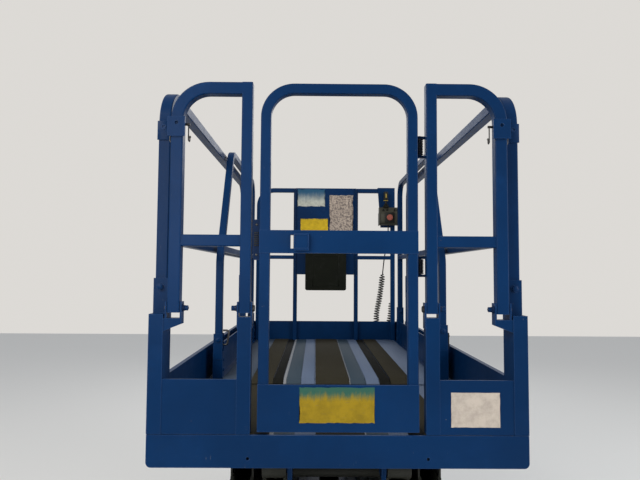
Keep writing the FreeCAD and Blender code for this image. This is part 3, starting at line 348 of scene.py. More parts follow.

# Deck strips from left to right: left edge, colour and how gritty each one is. The near-black slots are
# painted shadow, and each slate and pale pair is painted shade and painted light on a channel's two slopes.
FULL_GRIT = 1.0
DECK_STRIPS = [(-HALF_WIDTH, DIM, 0.25), (-0.355, OLIVE, FULL_GRIT), (-0.256, GAP_SHADOW, 0.7),
               (-0.212, LINE, 0.2), (-0.198, SHADED_SLOPE_SLATE, 0.3), (-0.133, PALE_PAINT_AND_LIT_SLOPE, 0.2),
               (-0.072, OLIVE, FULL_GRIT), (0.080, LINE, 0.2), (0.085, SHADED_SLOPE_SLATE, 0.3), (0.152, PALE_PAINT_AND_LIT_SLOPE, 0.2),
               (0.213, GAP_SHADOW, 0.8), (0.262, OLIVE, FULL_GRIT), (0.355, PALE_PAINT_AND_LIT_SLOPE, 0.2)]
deck_strips = deck_finish("deck_strips", DECK_STRIPS)


def dress(material, *names):
    """Give the named nodes their material."""
    for name in names:
        mesh = nodes[name].data
        if not mesh.materials:
            mesh.materials.append(material)
        for i in range(len(mesh.materials)):
            mesh.materials[i] = material


dress(chassis_paint, "chassis_spine", "end_plates", "wheel_covers", "guard_arms", "scissor_base",
      "module_left", "module_right", "pothole_guard_left", "pothole_guard_right")
dress(dark_steel, "rear_axle", "front_axle", "knuckle_left", "knuckle_right")
dress(rail_paint, "entry_ladder", "side_rail_left", "side_rail_right", "entry_rail_left",
      "entry_rail_right", "entry_gate", "extension_rail_left", "extension_rail_right", "front_rail")
dress(platform_paint, "platform_sides", "rear_skirt", "platform_beams", "platform_hangers",
      "platform_toe_boards", "rail_stubs", "extension_deck")
dress(deck_strips, "platform_deck")
dress(arm_paint, "lift_barrel", *["outer_arms_%d" % i for i in range(1, LEVELS + 1)],
      *["inner_arms_%d" % i for i in range(1, LEVELS + 1)])
dress(chrome, "lift_rod")
dress(black_plastic, "control_stick", "battery_pack")
dress(latch_paint, "gate_fittings")
dress(olive_box, "control_box")
dress(black_box, "manual_box")
dress(red_plastic, "control_button")
dress(tyre_rubber, *["tyre_%s_%s" % wheel for wheel in WHEELS])
dress(rim_paint, *["rim_%s_%s" % wheel for wheel in WHEELS])


# Meshes
def finish_mesh(name, bm, material, body, sharp=35.0):
    """Object of the mesh, smooth but for edges sharper than so many degrees, that rides on a body."""
    mesh = bpy.data.meshes.new(name)
    bmesh.ops.recalc_face_normals(bm, faces=bm.faces)
    bm.to_mesh(mesh)
    bm.free()
    obj = show(name, mesh)
    mesh.materials.append(material)
    mesh.shade_smooth()
    mesh.set_sharp_from_angle(angle=math.radians(sharp))
    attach(obj, body)
    return obj


kits = {}


def kit(body, material):
    """The mesh that gathers a body's small fittings of one material."""
    key = (body, material.name)
    if key not in kits:
        kits[key] = (bmesh.new(), material)
    return kits[key][0]


def add_plate(bm, low, high, bevel):
    """Block with softened edges."""
    low, high = Vector(low), Vector(high)
    made = bmesh.ops.create_cube(bm, size=1.0)
    bmesh.ops.scale(bm, vec=[abs(v) for v in high - low], verts=made["verts"])
    bmesh.ops.translate(bm, vec=(low + high) / 2, verts=made["verts"])
    edges = list({e for v in made["verts"] for e in v.link_edges})
    bmesh.ops.bevel(bm, geom=edges, offset=bevel, segments=2, affect="EDGES", profile=0.5)


def join_rings(bm, a, b):
    """Band of faces between two rings of as many points."""
    for i in range(len(a)):
        j = (i + 1) % len(a)
        bm.faces.new((a[i], a[j], b[j], b[i]))


def cap_ends(bm, rings):
    """Flat faces over the first and the last ring."""
    bm.faces.new(list(reversed(rings[0])))
    bm.faces.new(rings[-1])


def add_ring(bm, centre, axis, profile, sides, close=True):
    """Turned form: (radius, height) pairs about an axis. Its ends are solid discs when closed."""
    axis = Vector(axis).normalized()
    across = axis.orthogonal().normalized()
    other = axis.cross(across)
    rings = []
    for radius, height in profile:
        ring = []
        for i in range(sides):
            turn = 2 * math.pi * i / sides
            spot = across * math.cos(turn) * radius + other * math.sin(turn) * radius
            ring.append(bm.verts.new(Vector(centre) + spot + axis * height))
        rings.append(ring)
    for a, b in zip(rings, rings[1:]):
        join_rings(bm, a, b)
    if close:
        cap_ends(bm, rings)
    return rings


def add_hex(bm, centre, axis, radius, height):
    """Six-sided head with a washer and a rounded crown."""
    washer, washer_top = radius * 1.35, height * 0.2
    add_ring(bm, centre, axis, [(washer, 0.0), (washer, washer_top)], sides=20)
    add_ring(bm, centre, axis, [(radius, washer_top), (radius, height * 0.85), (radius * 0.8, height)],
             sides=6)


def add_tube(bm, points, radius, sides=8):
    """Round wire through points, with frames carried along it."""
    points = [Vector(p) for p in points]
    heads = [(b - a).normalized() for a, b in zip(points[:1] + points[:-1], points[1:] + points[-1:])]
    normal = heads[0].orthogonal().normalized()
    turns = [2 * math.pi * k / sides for k in range(sides)]
    rings = []
    for point, head in zip(points, heads):
        normal = (normal - head * normal.dot(head)).normalized()
        other = head.cross(normal)
        rings.append([bm.verts.new(point + (normal * math.cos(turn) + other * math.sin(turn)) * radius)
                      for turn in turns])
    for a, b in zip(rings, rings[1:]):
        join_rings(bm, a, b)
    cap_ends(bm, rings)


def rounded(points, radius):
    """Path whose corners are replaced by arcs."""
    steps, longest_trim = 6, 0.45
    points = [Vector(p) for p in points]
    path = [points[0]]
    for a, b, c in zip(points, points[1:], points[2:]):
        u, v = (a - b).normalized(), (c - b).normalized()
        angle = u.angle(v)
        trim = min(radius / math.tan(angle / 2), longest_trim * (a - b).length,
                   longest_trim * (c - b).length)
        centre = b + (u + v).normalized() * (trim * math.tan(angle / 2) / math.sin(angle / 2))
        start, end = b + u * trim - centre, b + v * trim - centre
        sweep = math.pi - angle
        for i in range(steps + 1):
            t = i / steps
            path.append(centre + (start * math.sin((1 - t) * sweep) + end * math.sin(t * sweep))
                        / math.sin(sweep))
    path.append(points[-1])
    return path


def rail_bolts():
    """Nuts on both ends of the pins that the folding rails turn on."""
    side_reach, extension_reach = 0.0265, 0.0235
    for side in (-1, 1):
        for way in (-1, 1):
            for y in SIDE_POSTS:
                place = at(side * SIDE_X, y + way * side_reach, SIDE_PIVOT)
                add_hex(kit("platform", platform_paint), place, (0, way, 0), radius=0.0100, height=0.008)
            for y in EXTENSION_POSTS:
                place = at(side * EXTENSION_X, y + way * extension_reach, EXTENSION_PIVOTS[side])
                add_hex(kit("extension", platform_paint), place, (0, way, 0), radius=0.0098, height=0.007)


def entry_pins():
    """Tapered nuts and flat heads on the entry rails' pins."""
    outer_reach, inner_reach = 0.0255, 0.0235
    cone = [(0.0118, 0.0), (0.0118, 0.0028), (0.0090, 0.0036), (0.0085, 0.0080), (0.0035, 0.0185)]
    low_head = [(0.0105, 0.0), (0.0105, 0.0024), (0.0090, 0.0038)]
    high_head = [(0.0105, 0.0), (0.0105, 0.0045), (0.0085, 0.0065)]
    for side in (-1, 1):
        for x, way, form, material in (
                (ENTRY_OUTER - outer_reach, -1, cone, latch_paint),
                (ENTRY_INNER + inner_reach, 1, cone, latch_paint),
                (ENTRY_OUTER + outer_reach, 1, low_head, dark_steel),
                (ENTRY_INNER - inner_reach, -1, high_head, dark_steel)):
            add_ring(kit("platform", material), at(side * x, 0.0, ENTRY_PIVOT), (side * way, 0, 0), form,
                     sides=18)


def rail_locks():
    """Lock pins with their wire clips on the entry rails, and the side rails' plates that they meet."""
    pin_z, pin_radius = 0.957, 0.004
    wire_radius, wire_bend = 0.0020, 0.005
    plate_y, plate_low, plate_high = (0.030, 0.0345), 0.915, 0.977
    bead = [(0.0022, -0.0035), (0.0038, -0.001), (0.0038, 0.001), (0.0022, 0.0035)]
    bush = [(0.0075, 0.0), (0.0075, 0.0015), (0.0050, 0.0015), (0.0050, -0.001)]
    outer = [(0.5345, 0.0, 0.960), (0.5345, 0.0, 0.904), (0.5270, -0.006, 0.896), (0.5250, -0.010, 0.908)]
    inner = [(0.4765, 0.0, 0.960), (0.4765, 0.0, 0.908), (0.4700, -0.008, 0.898), (0.4690, -0.012, 0.914)]
    for side, word in SIDES:
        bm = kit("entry_rail_" + word, dark_steel)
        add_tube(bm, [at(side * 0.472, 0.0, pin_z), at(side * 0.538, 0.0, pin_z)], pin_radius, sides=12)
        for clip in (outer, inner):
            route = [at(side * x, y, z) for x, y, z in clip]
            add_tube(bm, rounded(route, wire_bend), wire_radius)
            add_ring(bm, route[-1], (0, 0, 1), bead, sides=12)
        plate = kit("side_rail_" + word, rail_paint)
        a, b = sorted((side * 0.5435, side * 0.5835))
        add_plate(plate, at(a, plate_y[0], plate_low), at(b, plate_y[1], plate_high), bevel=0.0012)
        add_ring(plate, at(side * 0.5635, plate_y[0], pin_z), (0, -1, 0), bush, sides=18)


def gate_springs():
    """Closing springs wound round the gate's hinge barrels, with a loop of wire at each end."""
    turns, steps, loop_steps = 9, 12, 20
    coil_radius, wire_radius, loop_wire_radius = 0.0108, 0.0015, 0.0013
    coil_inset, loop_inset = 0.003, 0.0022
    x, y = GATE_HINGE

    def spot(turn, z):
        """Place on the coil's circle."""
        return at(x + coil_radius * math.cos(turn), y + coil_radius * math.sin(turn), z)

    for low, high in GATE_BARRELS:
        rise = (high - low - 2 * coil_inset) / (turns * steps)
        coil = [spot(2 * math.pi * i / steps, low + coil_inset + rise * i) for i in range(turns * steps + 1)]
        add_tube(kit("gate", black_steel), coil, wire_radius, sides=6)
        for z in (low + loop_inset, high - loop_inset):
            loop = [spot(2 * math.pi * i / loop_steps, z) for i in range(loop_steps + 1)]
            add_tube(kit("gate", black_steel), loop, loop_wire_radius, sides=6)


def latch_details():
    """Screws, a ribbed slider and a raised frame on the gate's latch."""
    screw = [(0.0036, 0.0), (0.0036, 0.0010), (0.0024, 0.0020), (0.0010, 0.0022)]
    for z in (0.546, 0.640):
        add_ring(kit("gate", dark_steel), at(-0.2565, -0.010, z), (0, -1, 0), screw, sides=16)
    rib_count, first_rib, rib_pitch, rib_height = 7, 0.574, 0.0065, 0.003
    for i in range(rib_count):
        z = first_rib + rib_pitch * i
        add_plate(kit("gate", black_plastic), at(-0.2640, -0.0125, z), at(-0.2490, -0.0098, z + rib_height),
                  bevel=0.0006)
    left, right, low, high, width = -0.1385, -0.0935, 0.5645, 0.6105, 0.003
    rear, face = -0.0315, -0.0300
    for x0, x1, z0, z1 in ((left, right, high - width, high), (left, right, low, low + width),
                           (left, left + width, low + width, high - width),
                           (right - width, right, low + width, high - width)):
        add_plate(kit("gate", rail_paint), at(x0, rear, z0), at(x1, face, z1), bevel=0.0007)


def stub_details():
    """Bent rod and plate on the extension rails' rear feet, and bolts through the stubs."""
    rod_y, rod_radius, rod_bend = 0.812, 0.0045, 0.010
    rod_line = ((-0.4895, 0.163), (-0.470, 0.163), (-0.462, 0.227), (-0.4895, 0.227))
    rod = [at(x, rod_y, z) for x, z in rod_line]
    add_tube(kit("extension_rail_left", dark_steel), rounded(rod, rod_bend), rod_radius, sides=12)
    plate_back, plate_face = 0.5335, 0.5385
    add_plate(kit("extension_rail_right", black_steel), at(plate_back, 0.806, 0.150),
              at(plate_face, 0.834, 0.222), bevel=0.0015)
    for z in (0.165, 0.207):
        add_hex(kit("extension_rail_right", dark_steel), at(plate_face, 0.820, z), (1, 0, 0),
                radius=0.0055, height=0.004)
    stub_face = 0.4880
    for side in (-1, 1):
        for y in EXTENSION_POSTS:
            for z in (0.050, 0.095):
                place = at(side * stub_face, y, z)
                add_hex(kit("extension", rail_paint), place, (-side, 0, 0), radius=0.0075, height=0.005)


def panel_details():
    """Turned edges of the front panel and its rivets."""
    sheet, low, high = 0.003, 0.482, 1.090
    side_depth, bottom_depth, bottom_gap = 0.017, 0.012, 0.0005
    rivet_x, rivet = 0.2085, [(0.0045, 0.0), (0.0042, 0.0010), (0.0020, 0.0018)]
    bm = kit("extension", rail_paint)
    for side in (-1, 1):
        a, b = sorted((side * (PANEL_HALF - sheet), side * PANEL_HALF))
        add_plate(bm, at(a, PANEL_FACE - side_depth, low), at(b, PANEL_FACE, high), bevel=0.0012)
        for z in (0.52, 0.70, 0.88, 1.06):
            add_ring(bm, at(side * rivet_x, PANEL_FACE, z), (0, -1, 0), rivet, sides=14)
    add_plate(bm, at(-PANEL_HALF + sheet, PANEL_FACE - bottom_depth, low - sheet),
              at(PANEL_HALF - sheet, PANEL_FACE, low - bottom_gap), bevel=0.0010)


def manual_box_details():
    """Rolled rim, a raised frame of four ribs and two screws on the open box."""
    rim_radius, rim_bend, rim_inset = 0.0042, 0.010, 0.002
    rib_half, rib_spread, rib_margin = 0.004, 0.090, 0.030
    screw_inset, screw = 0.030, [(0.006, 0.0), (0.006, 0.001), (0.003, 0.0025)]
    low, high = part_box("manual_box")
    bm = kit("extension", black_box)
    rim = [Vector((low.x, high.y - rim_inset, high.z)), Vector((low.x, low.y, high.z)),
           Vector((high.x, low.y, high.z)), Vector((high.x, high.y - rim_inset, high.z))]
    add_tube(bm, rounded(rim, rim_bend), rim_radius, sides=10)
    middle = (low.x + high.x) / 2
    rear, front = low.y - 0.002, low.y + 0.001
    for x in (middle - rib_spread, middle + rib_spread):
        add_plate(bm, (x - rib_half, rear, low.z + rib_margin), (x + rib_half, front, high.z - rib_margin),
                  bevel=0.0012)
    reach = rib_spread + rib_half
    for z in (low.z + rib_margin, high.z - rib_margin - rib_half):
        add_plate(bm, (middle - reach, rear, z), (middle + reach, front, z + 2 * rib_half), bevel=0.0012)
    for x in (low.x + screw_inset, high.x - screw_inset):
        add_ring(kit("extension", bright_steel), (x, high.y - 0.0042, high.z - 0.022), (0, -1, 0), screw,
                 sides=14)


def control_shell(low, high):
    """Side guards and face plate of the platform control."""
    guard, gap, inset = 0.0030, 0.0002, 0.006
    bm = kit("extension", olive_box)
    for a, b in ((low.x - guard, low.x - gap), (high.x + gap, high.x + guard)):
        add_plate(bm, (a, low.y - 0.006, low.z - 0.004), (b, high.y, high.z - 0.040), bevel=0.0010)
    add_plate(bm, (low.x + inset, low.y - 0.0022, low.z + 0.018),
              (high.x - inset, low.y + 0.001, high.z - 0.050), bevel=0.0010)


def button_details(face, low, high):
    """Bezel, collar and ridges round the stop button."""
    half_x, half_z, bezel_rear, bezel_front = 0.034, 0.036, face - 0.0055, face - 0.0015
    collar = [(0.0225, 0.0), (0.0225, 0.0016), (0.0195, 0.0024), (0.0150, 0.0024), (0.0150, 0.0)]
    ridge_count, ridge_circle, ridge = 12, 0.0198, [(0.0016, -0.005), (0.0016, 0.005)]
    x, z = (low.x + high.x) / 2, (low.z + high.z) / 2
    bm = kit("extension", black_plastic)
    add_plate(bm, (x - half_x, bezel_rear, z - half_z), (x + half_x, bezel_front, z + half_z), bevel=0.0030)
    add_ring(bm, (x, bezel_rear, z), (0, -1, 0), collar, sides=28)
    for i in range(ridge_count):
        turn = 2 * math.pi * i / ridge_count
        spot = Vector((x + ridge_circle * math.cos(turn), low.y + 0.006, z + ridge_circle * math.sin(turn)))
        add_ring(kit("extension", red_plastic), spot, (0, 1, 0), ridge, sides=8)


def control_switches(low, high):
    """Toggle switches on the control's sloped face."""
    slope = Vector((0, -0.046, 0.034)).normalized()
    toggle = [(0.0075, 0.0), (0.0075, 0.003), (0.0042, 0.004), (0.0026, 0.014), (0.0034, 0.017),
              (0.0015, 0.019)]
    for dx in (-0.046, -0.018, 0.034, 0.056):
        foot = Vector(((low.x + high.x) / 2 + dx, low.y + 0.017, high.z - 0.023))
        add_ring(kit("extension", black_plastic), foot, slope, toggle, sides=14)


def stick_details(low, high):
    """Gaiter, grip, ring and trigger of the control stick."""
    folds, fold_height, fold_depth = 6, 0.0050, 0.0035
    x, y = (low.x + high.x) / 2, (low.y + high.y) / 2
    gaiter = []
    for i in range(folds):
        radius, height = 0.0262 - 0.0024 * i, fold_height * i
        gaiter += [(radius, height), (radius - fold_depth, height + fold_height / 2)]
    grip = [(0.0125, 0.050), (0.0160, 0.054), (0.0172, 0.066), (0.0160, 0.080), (0.0172, 0.094),
            (0.0160, 0.108), (0.0115, 0.1128), (0.004, 0.1130)]
    ring = [(0.0120, 0.046), (0.0168, 0.047), (0.0168, 0.051), (0.0120, 0.052)]
    for form, material in ((gaiter, black_plastic), (grip, black_plastic), (ring, yellow_plastic)):
        add_ring(kit("extension", material), (x, y, low.z), (0, 0, 1), form, sides=28)
    trigger_half = 0.0045
    add_plate(kit("extension", yellow_plastic), (x - trigger_half, y - 0.0215, low.z + 0.066),
              (x + trigger_half, y - 0.0140, low.z + 0.096), bevel=0.0020)


def control_details():
    """Trim of the platform control."""
    low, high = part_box("control_box")
    control_shell(low, high)
    button_details(low.y, *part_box("control_button"))
    control_switches(low, high)
    stick_details(*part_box("control_stick"))


def film(name, body, material, x, z, y, ragged):
    """Thin blank film with a ragged outline, facing the rear."""
    count, thickness, kept_bite = 26, 0.0005, 0.55
    rnd = random.Random(name)
    corners = [(x[0], z[0]), (x[1], z[0]), (x[1], z[1]), (x[0], z[1])]
    inward = [(0, 1), (-1, 0), (0, -1), (1, 0)]
    outline = []
    for (a, b), (c, d), (u, v) in zip(corners, corners[1:] + corners[:1], inward):
        bite = 0.0
        for i in range(count):
            bite = kept_bite * bite + ragged * rnd.random() ** 4
            f = i / count
            outline.append((a + (c - a) * f + u * bite, b + (d - b) * f + v * bite))
    bm = bmesh.new()
    front = [bm.verts.new(at(px, y - thickness, pz)) for px, pz in outline]
    back = [bm.verts.new(at(px, y, pz)) for px, pz in outline]
    bm.faces.new(front)
    bm.faces.new(list(reversed(back)))
    for i in range(len(front)):
        j = (i + 1) % len(front)
        bm.faces.new((front[i], back[i], back[j], front[j]))
    bmesh.ops.triangulate(bm, faces=[f for f in bm.faces if len(f.verts) > 4])
    finish_mesh(name, bm, material, body, sharp=20.0)


def films():
    """Blank films on the front panel and the gate, and a blank tag on the skirt."""
    film("panel_film_green", "extension", panel_green, (-0.204, -0.006), (0.962, 1.088), PANEL_FACE,
         ragged=0.004)
    film("panel_film_yellow", "extension", panel_yellow, (-0.181, 0.017), (0.790, 0.876), PANEL_FACE,
         ragged=0.003)
    film("panel_film_pale", "extension", panel_pale, (0.024, 0.1960), (0.760, 1.046), PANEL_FACE,
         ragged=0.005)
    film("gate_film", "gate", gate_film, (-0.119, 0.111), (0.035, 0.143), -0.020, ragged=0.002)
    film("blank_tag", "platform", tag_film, (0.345, 0.495), (0.023, 0.128), -0.017, ragged=0.0008)


def deck_mat():
    """Grit strips, the lower smooth strips between them and their sloped rear ends on the sliding deck."""
    half, gap = 0.484, 0.0008
    grit_rise, smooth_rise = 0.0034, 0.0008
    low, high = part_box("extension_deck")
    top = EXTENSION_DECK_TOP
    foot_y, brow_y = low.y - 0.055, low.y + 0.004
    bm = bmesh.new()
    right_edges = [x for x, _, _ in DECK_STRIPS[1:]] + [half]
    for (left_edge, _, grit), right_edge in zip(DECK_STRIPS, right_edges):
        a, b = max(left_edge, -half) + gap, min(right_edge, half) - gap
        rise = grit_rise if grit >= FULL_GRIT else smooth_rise
        add_plate(bm, (a, low.y + 0.003, top - 0.0002), (b, high.y - 0.010, top + rise), bevel=0.0006)
        slope = [(foot_y, DECK + 0.0030), (foot_y, DECK + 0.0042),
                 (brow_y, top + rise), (brow_y, top - 0.004)]
        sides = [[bm.verts.new((x, y, z)) for y, z in slope] for x in (a, b)]
        cap_ends(bm, sides)
        join_rings(bm, *sides)
    finish_mesh("deck_mat", bm, deck_strips, "extension")


def ladder_treads():
    """Ridged strips on the ladder's steps."""
    half, bevel = 0.165, 0.0006
    ridge_count, ridge_pitch, ridge_half, ridge_inset = 5, 0.0068, 0.0012, 0.005
    low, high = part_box("entry_ladder")
    first, last = low.z + 0.035, high.z - 0.130
    bm = kit("chassis", black_plastic)
    for z in (first, (first + last) / 2, last):
        add_plate(bm, (-half, low.y + 0.003, z + 0.0218), (half, low.y + 0.037, z + 0.0232), bevel)
        for i in range(ridge_count):
            y = low.y + 0.0065 + ridge_pitch * i
            add_plate(bm, (ridge_inset - half, y - ridge_half, z + 0.0230),
                      (half - ridge_inset, y + ridge_half, z + 0.0255), bevel)


def chassis_details():
    """Collars round the lashing holes and bolts on the rear end plate."""
    hole_x, hole_z = 0.470, 0.330
    rear_face, rear_inner, front_inner = -1.177, -1.165, 1.208
    collar = [(0.028, 0.0), (0.028, 0.003), (0.0172, 0.003), (0.0172, 0.0)]
    for x in (-hole_x, hole_x):
        for y, way in ((rear_face, -1), (rear_inner, 1), (front_inner, -1)):
            add_ring(kit("chassis", chassis_paint), (x, y, hole_z), (0, way, 0), collar, sides=32,
                     close=False)
    for side in (-1, 1):
        for x in (0.090, 0.155):
            for z in (0.150, 0.250, 0.385):
                add_hex(kit("chassis", bright_steel), (side * x, rear_face, z), (0, -1, 0),
                        radius=0.009, height=0.007)


def module_latches():
    """Turn latches on the covers' sloped edges. The left one also has a stop button, a switch and studs."""
    edge_x, edge_drop, sink = 0.565, 0.020, 0.0005
    handle_half, handle_radius = 0.017, 0.0042
    base = [(0.022, 0.0), (0.022, 0.002), (0.019, 0.003), (0.012, 0.003), (0.012, 0.0055)]
    controls = ((0.02, 0.014, red_plastic), (0.08, 0.010, black_plastic),
                (0.12, 0.007, bright_steel), (0.15, 0.007, bright_steel))
    along = Vector((0, handle_half, 0))
    for side, word in SIDES:
        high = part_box("module_" + word)[1]
        slope = Vector((side, 0, 1)).normalized()
        x, z = side * edge_x, high.z - edge_drop
        for y in (-0.42, 0.38):
            foot = Vector((x, y, z)) - slope * sink
            bm = kit("module_" + word, black_plastic)
            add_ring(bm, foot, slope, base, sides=28)
            ends, middle = foot + slope * 0.007, foot + slope * 0.0078
            add_tube(bm, [ends - along, middle, ends + along], handle_radius, sides=12)
        if word == "left":
            for y, radius, material in controls:
                add_ring(kit("module_" + word, material), Vector((x, y, z)) - slope * sink, slope,
                         [(radius * 1.25, 0.0), (radius * 1.25, 0.002), (radius * 0.6, 0.003),
                          (radius, 0.004), (radius, 0.007), (radius * 0.7, 0.009)], sides=24)


def arm_caps():
    """Pin keepers on the outer faces of the outer arms."""
    cap_height = 0.0034
    cap = [(0.028, 0.0), (0.028, 0.0022), (0.0245, cap_height), (0.0100, cap_height)]
    bolt = [(0.0085, 0.0), (0.0085, 0.0006), (0.0070, 0.0012)]
    reach = math.sqrt(ARM_LENGTH ** 2 - LEVEL_PITCH ** 2)
    for level in range(1, LEVELS + 1):
        body = "outer_arms_%d" % level
        low, high = BASE_PIN + (level - 1) * LEVEL_PITCH, BASE_PIN + level * LEVEL_PITCH
        spots = [(REAR_PIN + reach / 2, (low + high) / 2)]
        if level > 1:
            spots.append((REAR_PIN, low))
        if level < LEVELS:
            spots.append((REAR_PIN + reach, high))
        for side in (-1, 1):
            for y, z in spots:
                axis = Vector((side, 0, 0))
                place = Vector((side * ARM_FACE, y, z))
                add_ring(kit(body, arm_paint), place, axis, cap, sides=28)
                add_ring(kit(body, bright_steel), place + axis * cap_height, axis, bolt, sides=6)


def tyre_profile(outer, half):
    """Moulded section of a tyre from one side to the other, as (radius, height) pairs."""
    groove = 0.0035
    sidewall = [(0.129, 1.0), (0.1335, 1.0), (0.1350, 0.982), (0.1490, 0.968), (0.1505, 0.985),
                (0.1560, 0.985), (0.1575, 0.968), (0.1680, 0.950), (0.1790, 0.890), (0.1860, 0.820),
                (0.1893, 0.730)]
    crown = [(outer, 0.62), (outer, 0.34), (outer - groove, 0.325), (outer - groove, 0.285),
             (outer, 0.27), (outer, 0.0)]
    right_half = [(radius, half * share) for radius, share in sidewall + crown]
    return right_half + [(radius, -height) for radius, height in reversed(right_half[:-1])]


def wheel_details():
    """Tyres with moulded sidewalls, wheel nuts and hub caps."""
    tyre_sides = 96
    nut_count, nut_circle, first_nut, nut_x = 5, 0.068, 54, 0.5495
    hub_x, hub_cap = 0.5672, [(0.036, 0.0), (0.036, 0.006), (0.031, 0.012), (0.018, 0.0155), (0.004, 0.0165)]
    for end, word in WHEELS:
        side = -1 if word == "left" else 1
        body = "wheel_%s_%s" % (end, word)
        low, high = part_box("tyre_%s_%s" % (end, word))
        centre = (low + high) / 2
        bm = bmesh.new()
        profile = tyre_profile((high.z - low.z) / 2, (high.x - low.x) / 2)
        rings = add_ring(bm, centre, (1, 0, 0), profile, tyre_sides, close=False)
        join_rings(bm, rings[-1], rings[0])
        tyre = finish_mesh("tread_%s_%s" % (end, word), bm, tyre_rubber, body, sharp=40.0)
        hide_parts("tyre_%s_%s" % (end, word))
        for i in range(nut_count):
            turn = math.radians(360 / nut_count * i + first_nut)
            spot = Vector((side * nut_x, centre.y + nut_circle * math.cos(turn),
                           centre.z + nut_circle * math.sin(turn)))
            add_hex(kit(body, bright_steel), spot, (side, 0, 0), radius=0.0095, height=0.013)
        add_ring(kit(body, dark_steel), (side * hub_x, centre.y, centre.z), (side, 0, 0), hub_cap, sides=32)


rail_bolts()
entry_pins()
rail_locks()
gate_springs()
latch_details()
stub_details()
panel_details()
manual_box_details()
control_details()
films()
deck_mat()
ladder_treads()
chassis_details()
module_latches()
arm_caps()
wheel_details()
for (body, label), (bm, material) in kits.items():
    finish_mesh("%s_fittings_%s" % (body, label), bm, material, body)


# Control cord: its routes, the wire's thickness, the coil's radius and its rise in one turn
lead_route = [(0.440, 2.178, 0.830), (0.440, 2.178, 0.770), (0.438, 2.215, 0.705),
              (0.432, 2.270, 0.650), (0.4246, 2.2988, 0.5812), (0.415, 2.300, 0.487)]
curl_route = [(0.415, 2.300, 0.487), (0.399, 2.302, 0.330), (0.366, 2.300, 0.190),
              (0.376, 2.299, 0.092), (0.448, 2.299, 0.084), (0.474, 2.300, 0.180),
              (0.478, 2.300, 0.290)]
tail_route = [(0.478, 2.300, 0.290), (0.480, 2.300, 0.345), (0.478, 2.298, 0.420),
              (0.478, 2.262, 0.420)]
CORD = 0.0080
COIL = 0.0172
PITCH = 0.0175


def nurbs(name, points, resolution):
    """Smooth curve of the control points, from the first one to the last."""
    curve = bpy.data.curves.new(name, "CURVE")
    curve.dimensions = "3D"
    curve.resolution_u = resolution
    spline = curve.splines.new("NURBS")
    spline.points.add(len(points) - 1)
    for spot, point in zip(spline.points, points):
        spot.co = (*point, 1.0)
    spline.order_u = 3
    spline.use_endpoint_u = True
    return curve


def centre_line(curve):
    """Points along a curve that has no thickness. The curve is removed."""
    probe = show("probe", curve)
    mesh = bpy.data.meshes.new_from_object(probe)
    line = [v.co.copy() for v in mesh.vertices]
    bpy.data.meshes.remove(mesh)
    bpy.data.objects.remove(probe)
    bpy.data.curves.remove(curve)
    return line


def walk(line, step):
    """Evenly spaced points, headings and distances along a line, and the line's length."""
    marks = [0.0]
    for a, b in zip(line, line[1:]):
        marks.append(marks[-1] + (b - a).length)
    count = int(marks[-1] / step)
    found = []
    k = 0
    for i in range(count + 1):
        goal = marks[-1] * i / count
        while k < len(marks) - 2 and marks[k + 1] < goal:
            k += 1
        part = (goal - marks[k]) / max(marks[k + 1] - marks[k], 1e-9)
        found.append((line[k].lerp(line[k + 1], part), (line[k + 1] - line[k]).normalized(), goal))
    return found, marks[-1]


def helix(line, radius, pitch):
    """Helix points around a line, growing out of it and back over its first and last 1.6 turns."""
    points_a_turn, growing_turns, growth = 14, 1.6, 0.7
    unevenness, waves = 0.05, 41.0
    spots, total = walk(line, pitch / points_a_turn)
    normal = Vector((0, 1, 0))
    points = []
    for spot, head, goal in spots:
        normal = (normal - head * normal.dot(head)).normalized()
        other = head.cross(normal)
        turn = 2 * math.pi * goal / pitch
        grown = min(goal, total - goal) / (growing_turns * pitch)
        size = radius * min(1.0, max(0.0, grown)) ** growth
        size *= 1.0 + unevenness * math.sin(goal * waves)
        points.append(spot + (normal * math.cos(turn) + other * math.sin(turn)) * size)
    return points


curl_line = centre_line(nurbs("curl_line", [at(*p) for p in curl_route], 24))
cord_points = [at(*p) for p in lead_route[:-1]]
cord_points += helix(curl_line, COIL, PITCH)
cord_points += [at(*p) for p in tail_route[1:]]
cord_curve = nurbs("control_cord", cord_points, 3)
cord_curve.bevel_depth = CORD / 2
cord_curve.bevel_resolution = 2
cord_curve.use_fill_caps = True
cord_curve.materials.append(cord_rubber)
control_cord = show("control_cord", cord_curve)
thin_cord = cord_curve.copy()
thin_cord.bevel_depth = 0.0
cord_line = centre_line(thin_cord)
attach(control_cord, "extension")
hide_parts("cord_ends", "cord_curl")

# Stage
FLOOR_SIZE = 24.0
bm = bmesh.new()
bmesh.ops.create_grid(bm, x_segments=1, y_segments=1, size=FLOOR_SIZE / 2)
floor_mesh = bpy.data.meshes.new("floor")
bm.to_mesh(floor_mesh)
bm.free()
floor_mesh.materials.append(Tree("floor_pale").put((0.80, 0.79, 0.76), 0.9))
floor = show("floor", floor_mesh)

# Camera, fitted to edge places in the photo
PHOTO_WIDTH_PX = 640.0
FOCAL_LENGTH_PX = 556.9
SENSOR_MM = 36.0
CAMERA_PLACE = (-0.0728, -2.8713, 1.6522)
pitch, yaw, roll = math.radians(3.342), math.radians(0.463), math.radians(0.368)
forward = Vector((math.sin(yaw) * math.cos(pitch), math.cos(yaw) * math.cos(pitch), math.sin(pitch)))
right = Vector((math.cos(yaw), -math.sin(yaw), 0.0))
up = right.cross(forward)
right_rolled = right * math.cos(roll) + up * math.sin(roll)
up_rolled = up * math.cos(roll) - right * math.sin(roll)
camera_data = bpy.data.cameras.new("camera")
camera_data.sensor_width = SENSOR_MM
camera_data.sensor_fit = "HORIZONTAL"
camera_data.lens = FOCAL_LENGTH_PX / PHOTO_WIDTH_PX * SENSOR_MM
camera_data.clip_start = 0.05
camera_data.clip_end = 100.0
camera = show("camera", camera_data)
turn = Matrix((right_rolled, up_rolled, -forward)).transposed().to_4x4()
camera.matrix_world = Matrix.Translation(Vector(CAMERA_PLACE)) @ turn
bpy.context.scene.camera = camera

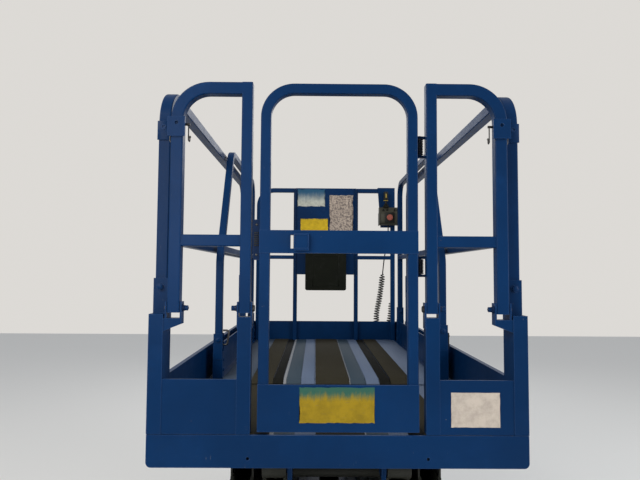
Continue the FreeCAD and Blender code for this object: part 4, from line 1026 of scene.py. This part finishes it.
# Light
WHITE = (1.0, 1.0, 1.0)
WARM = (1.0, 0.97, 0.93)
COOL = (0.93, 0.96, 1.0)


def area(name, place, target, size, power, colour):
    """Rectangular lamp at a place, turned to a target."""
    data = bpy.data.lights.new(name, "AREA")
    data.shape = "RECTANGLE"
    data.size, data.size_y = size
    data.energy = power
    data.color = colour
    lamp = show(name, data)
    way = Vector(target) - Vector(place)
    lamp.matrix_world = Matrix.Translation(Vector(place)) @ way.to_track_quat("-Z", "Y").to_matrix().to_4x4()


area("key", (-3.8, -4.2, 5.0), (0, -0.3, 1.3), (3.0, 3.0), 235.0, WARM)
area("fill", (4.6, -3.2, 2.8), (0, -0.2, 1.3), (3.0, 3.0), 180.0, COOL)
area("back", (0.5, 5.5, 4.5), (0, 0.5, 1.4), (4.0, 2.5), 50.0, WHITE)
area("sheen", (-1.05, -2.95, 2.1), (-0.45, -1.13, 1.9), (0.8, 1.2), 13.0, WARM)

# World: a cool light all round, and a plain warm grey where the camera looks past the floor
world = bpy.data.worlds.new("world")
bpy.context.scene.world = world
world.use_nodes = True
world_nodes, world_links = world.node_tree.nodes, world.node_tree.links
world_nodes.clear()


def background(colour, strength):
    """The world's shader for one colour."""
    node = world_nodes.new("ShaderNodeBackground")
    node.inputs["Color"].default_value = (*colour, 1.0)
    node.inputs["Strength"].default_value = strength
    return node.outputs["Background"]


ray = world_nodes.new("ShaderNodeLightPath")
seen = world_nodes.new("ShaderNodeMath")
seen.operation = "MAXIMUM"
mixer = world_nodes.new("ShaderNodeMixShader")
world_output = world_nodes.new("ShaderNodeOutputWorld")
world_links.new(ray.outputs["Is Camera Ray"], seen.inputs[0])
world_links.new(ray.outputs["Is Transmission Ray"], seen.inputs[1])
world_links.new(seen.outputs["Value"], mixer.inputs[0])
world_links.new(background((0.92, 0.95, 1.0), 0.55), mixer.inputs[1])
world_links.new(background((0.72, 0.70, 0.67), 1.0), mixer.inputs[2])
world_links.new(mixer.outputs["Shader"], world_output.inputs["Surface"])

bpy.context.scene.view_settings.view_transform = "Standard"
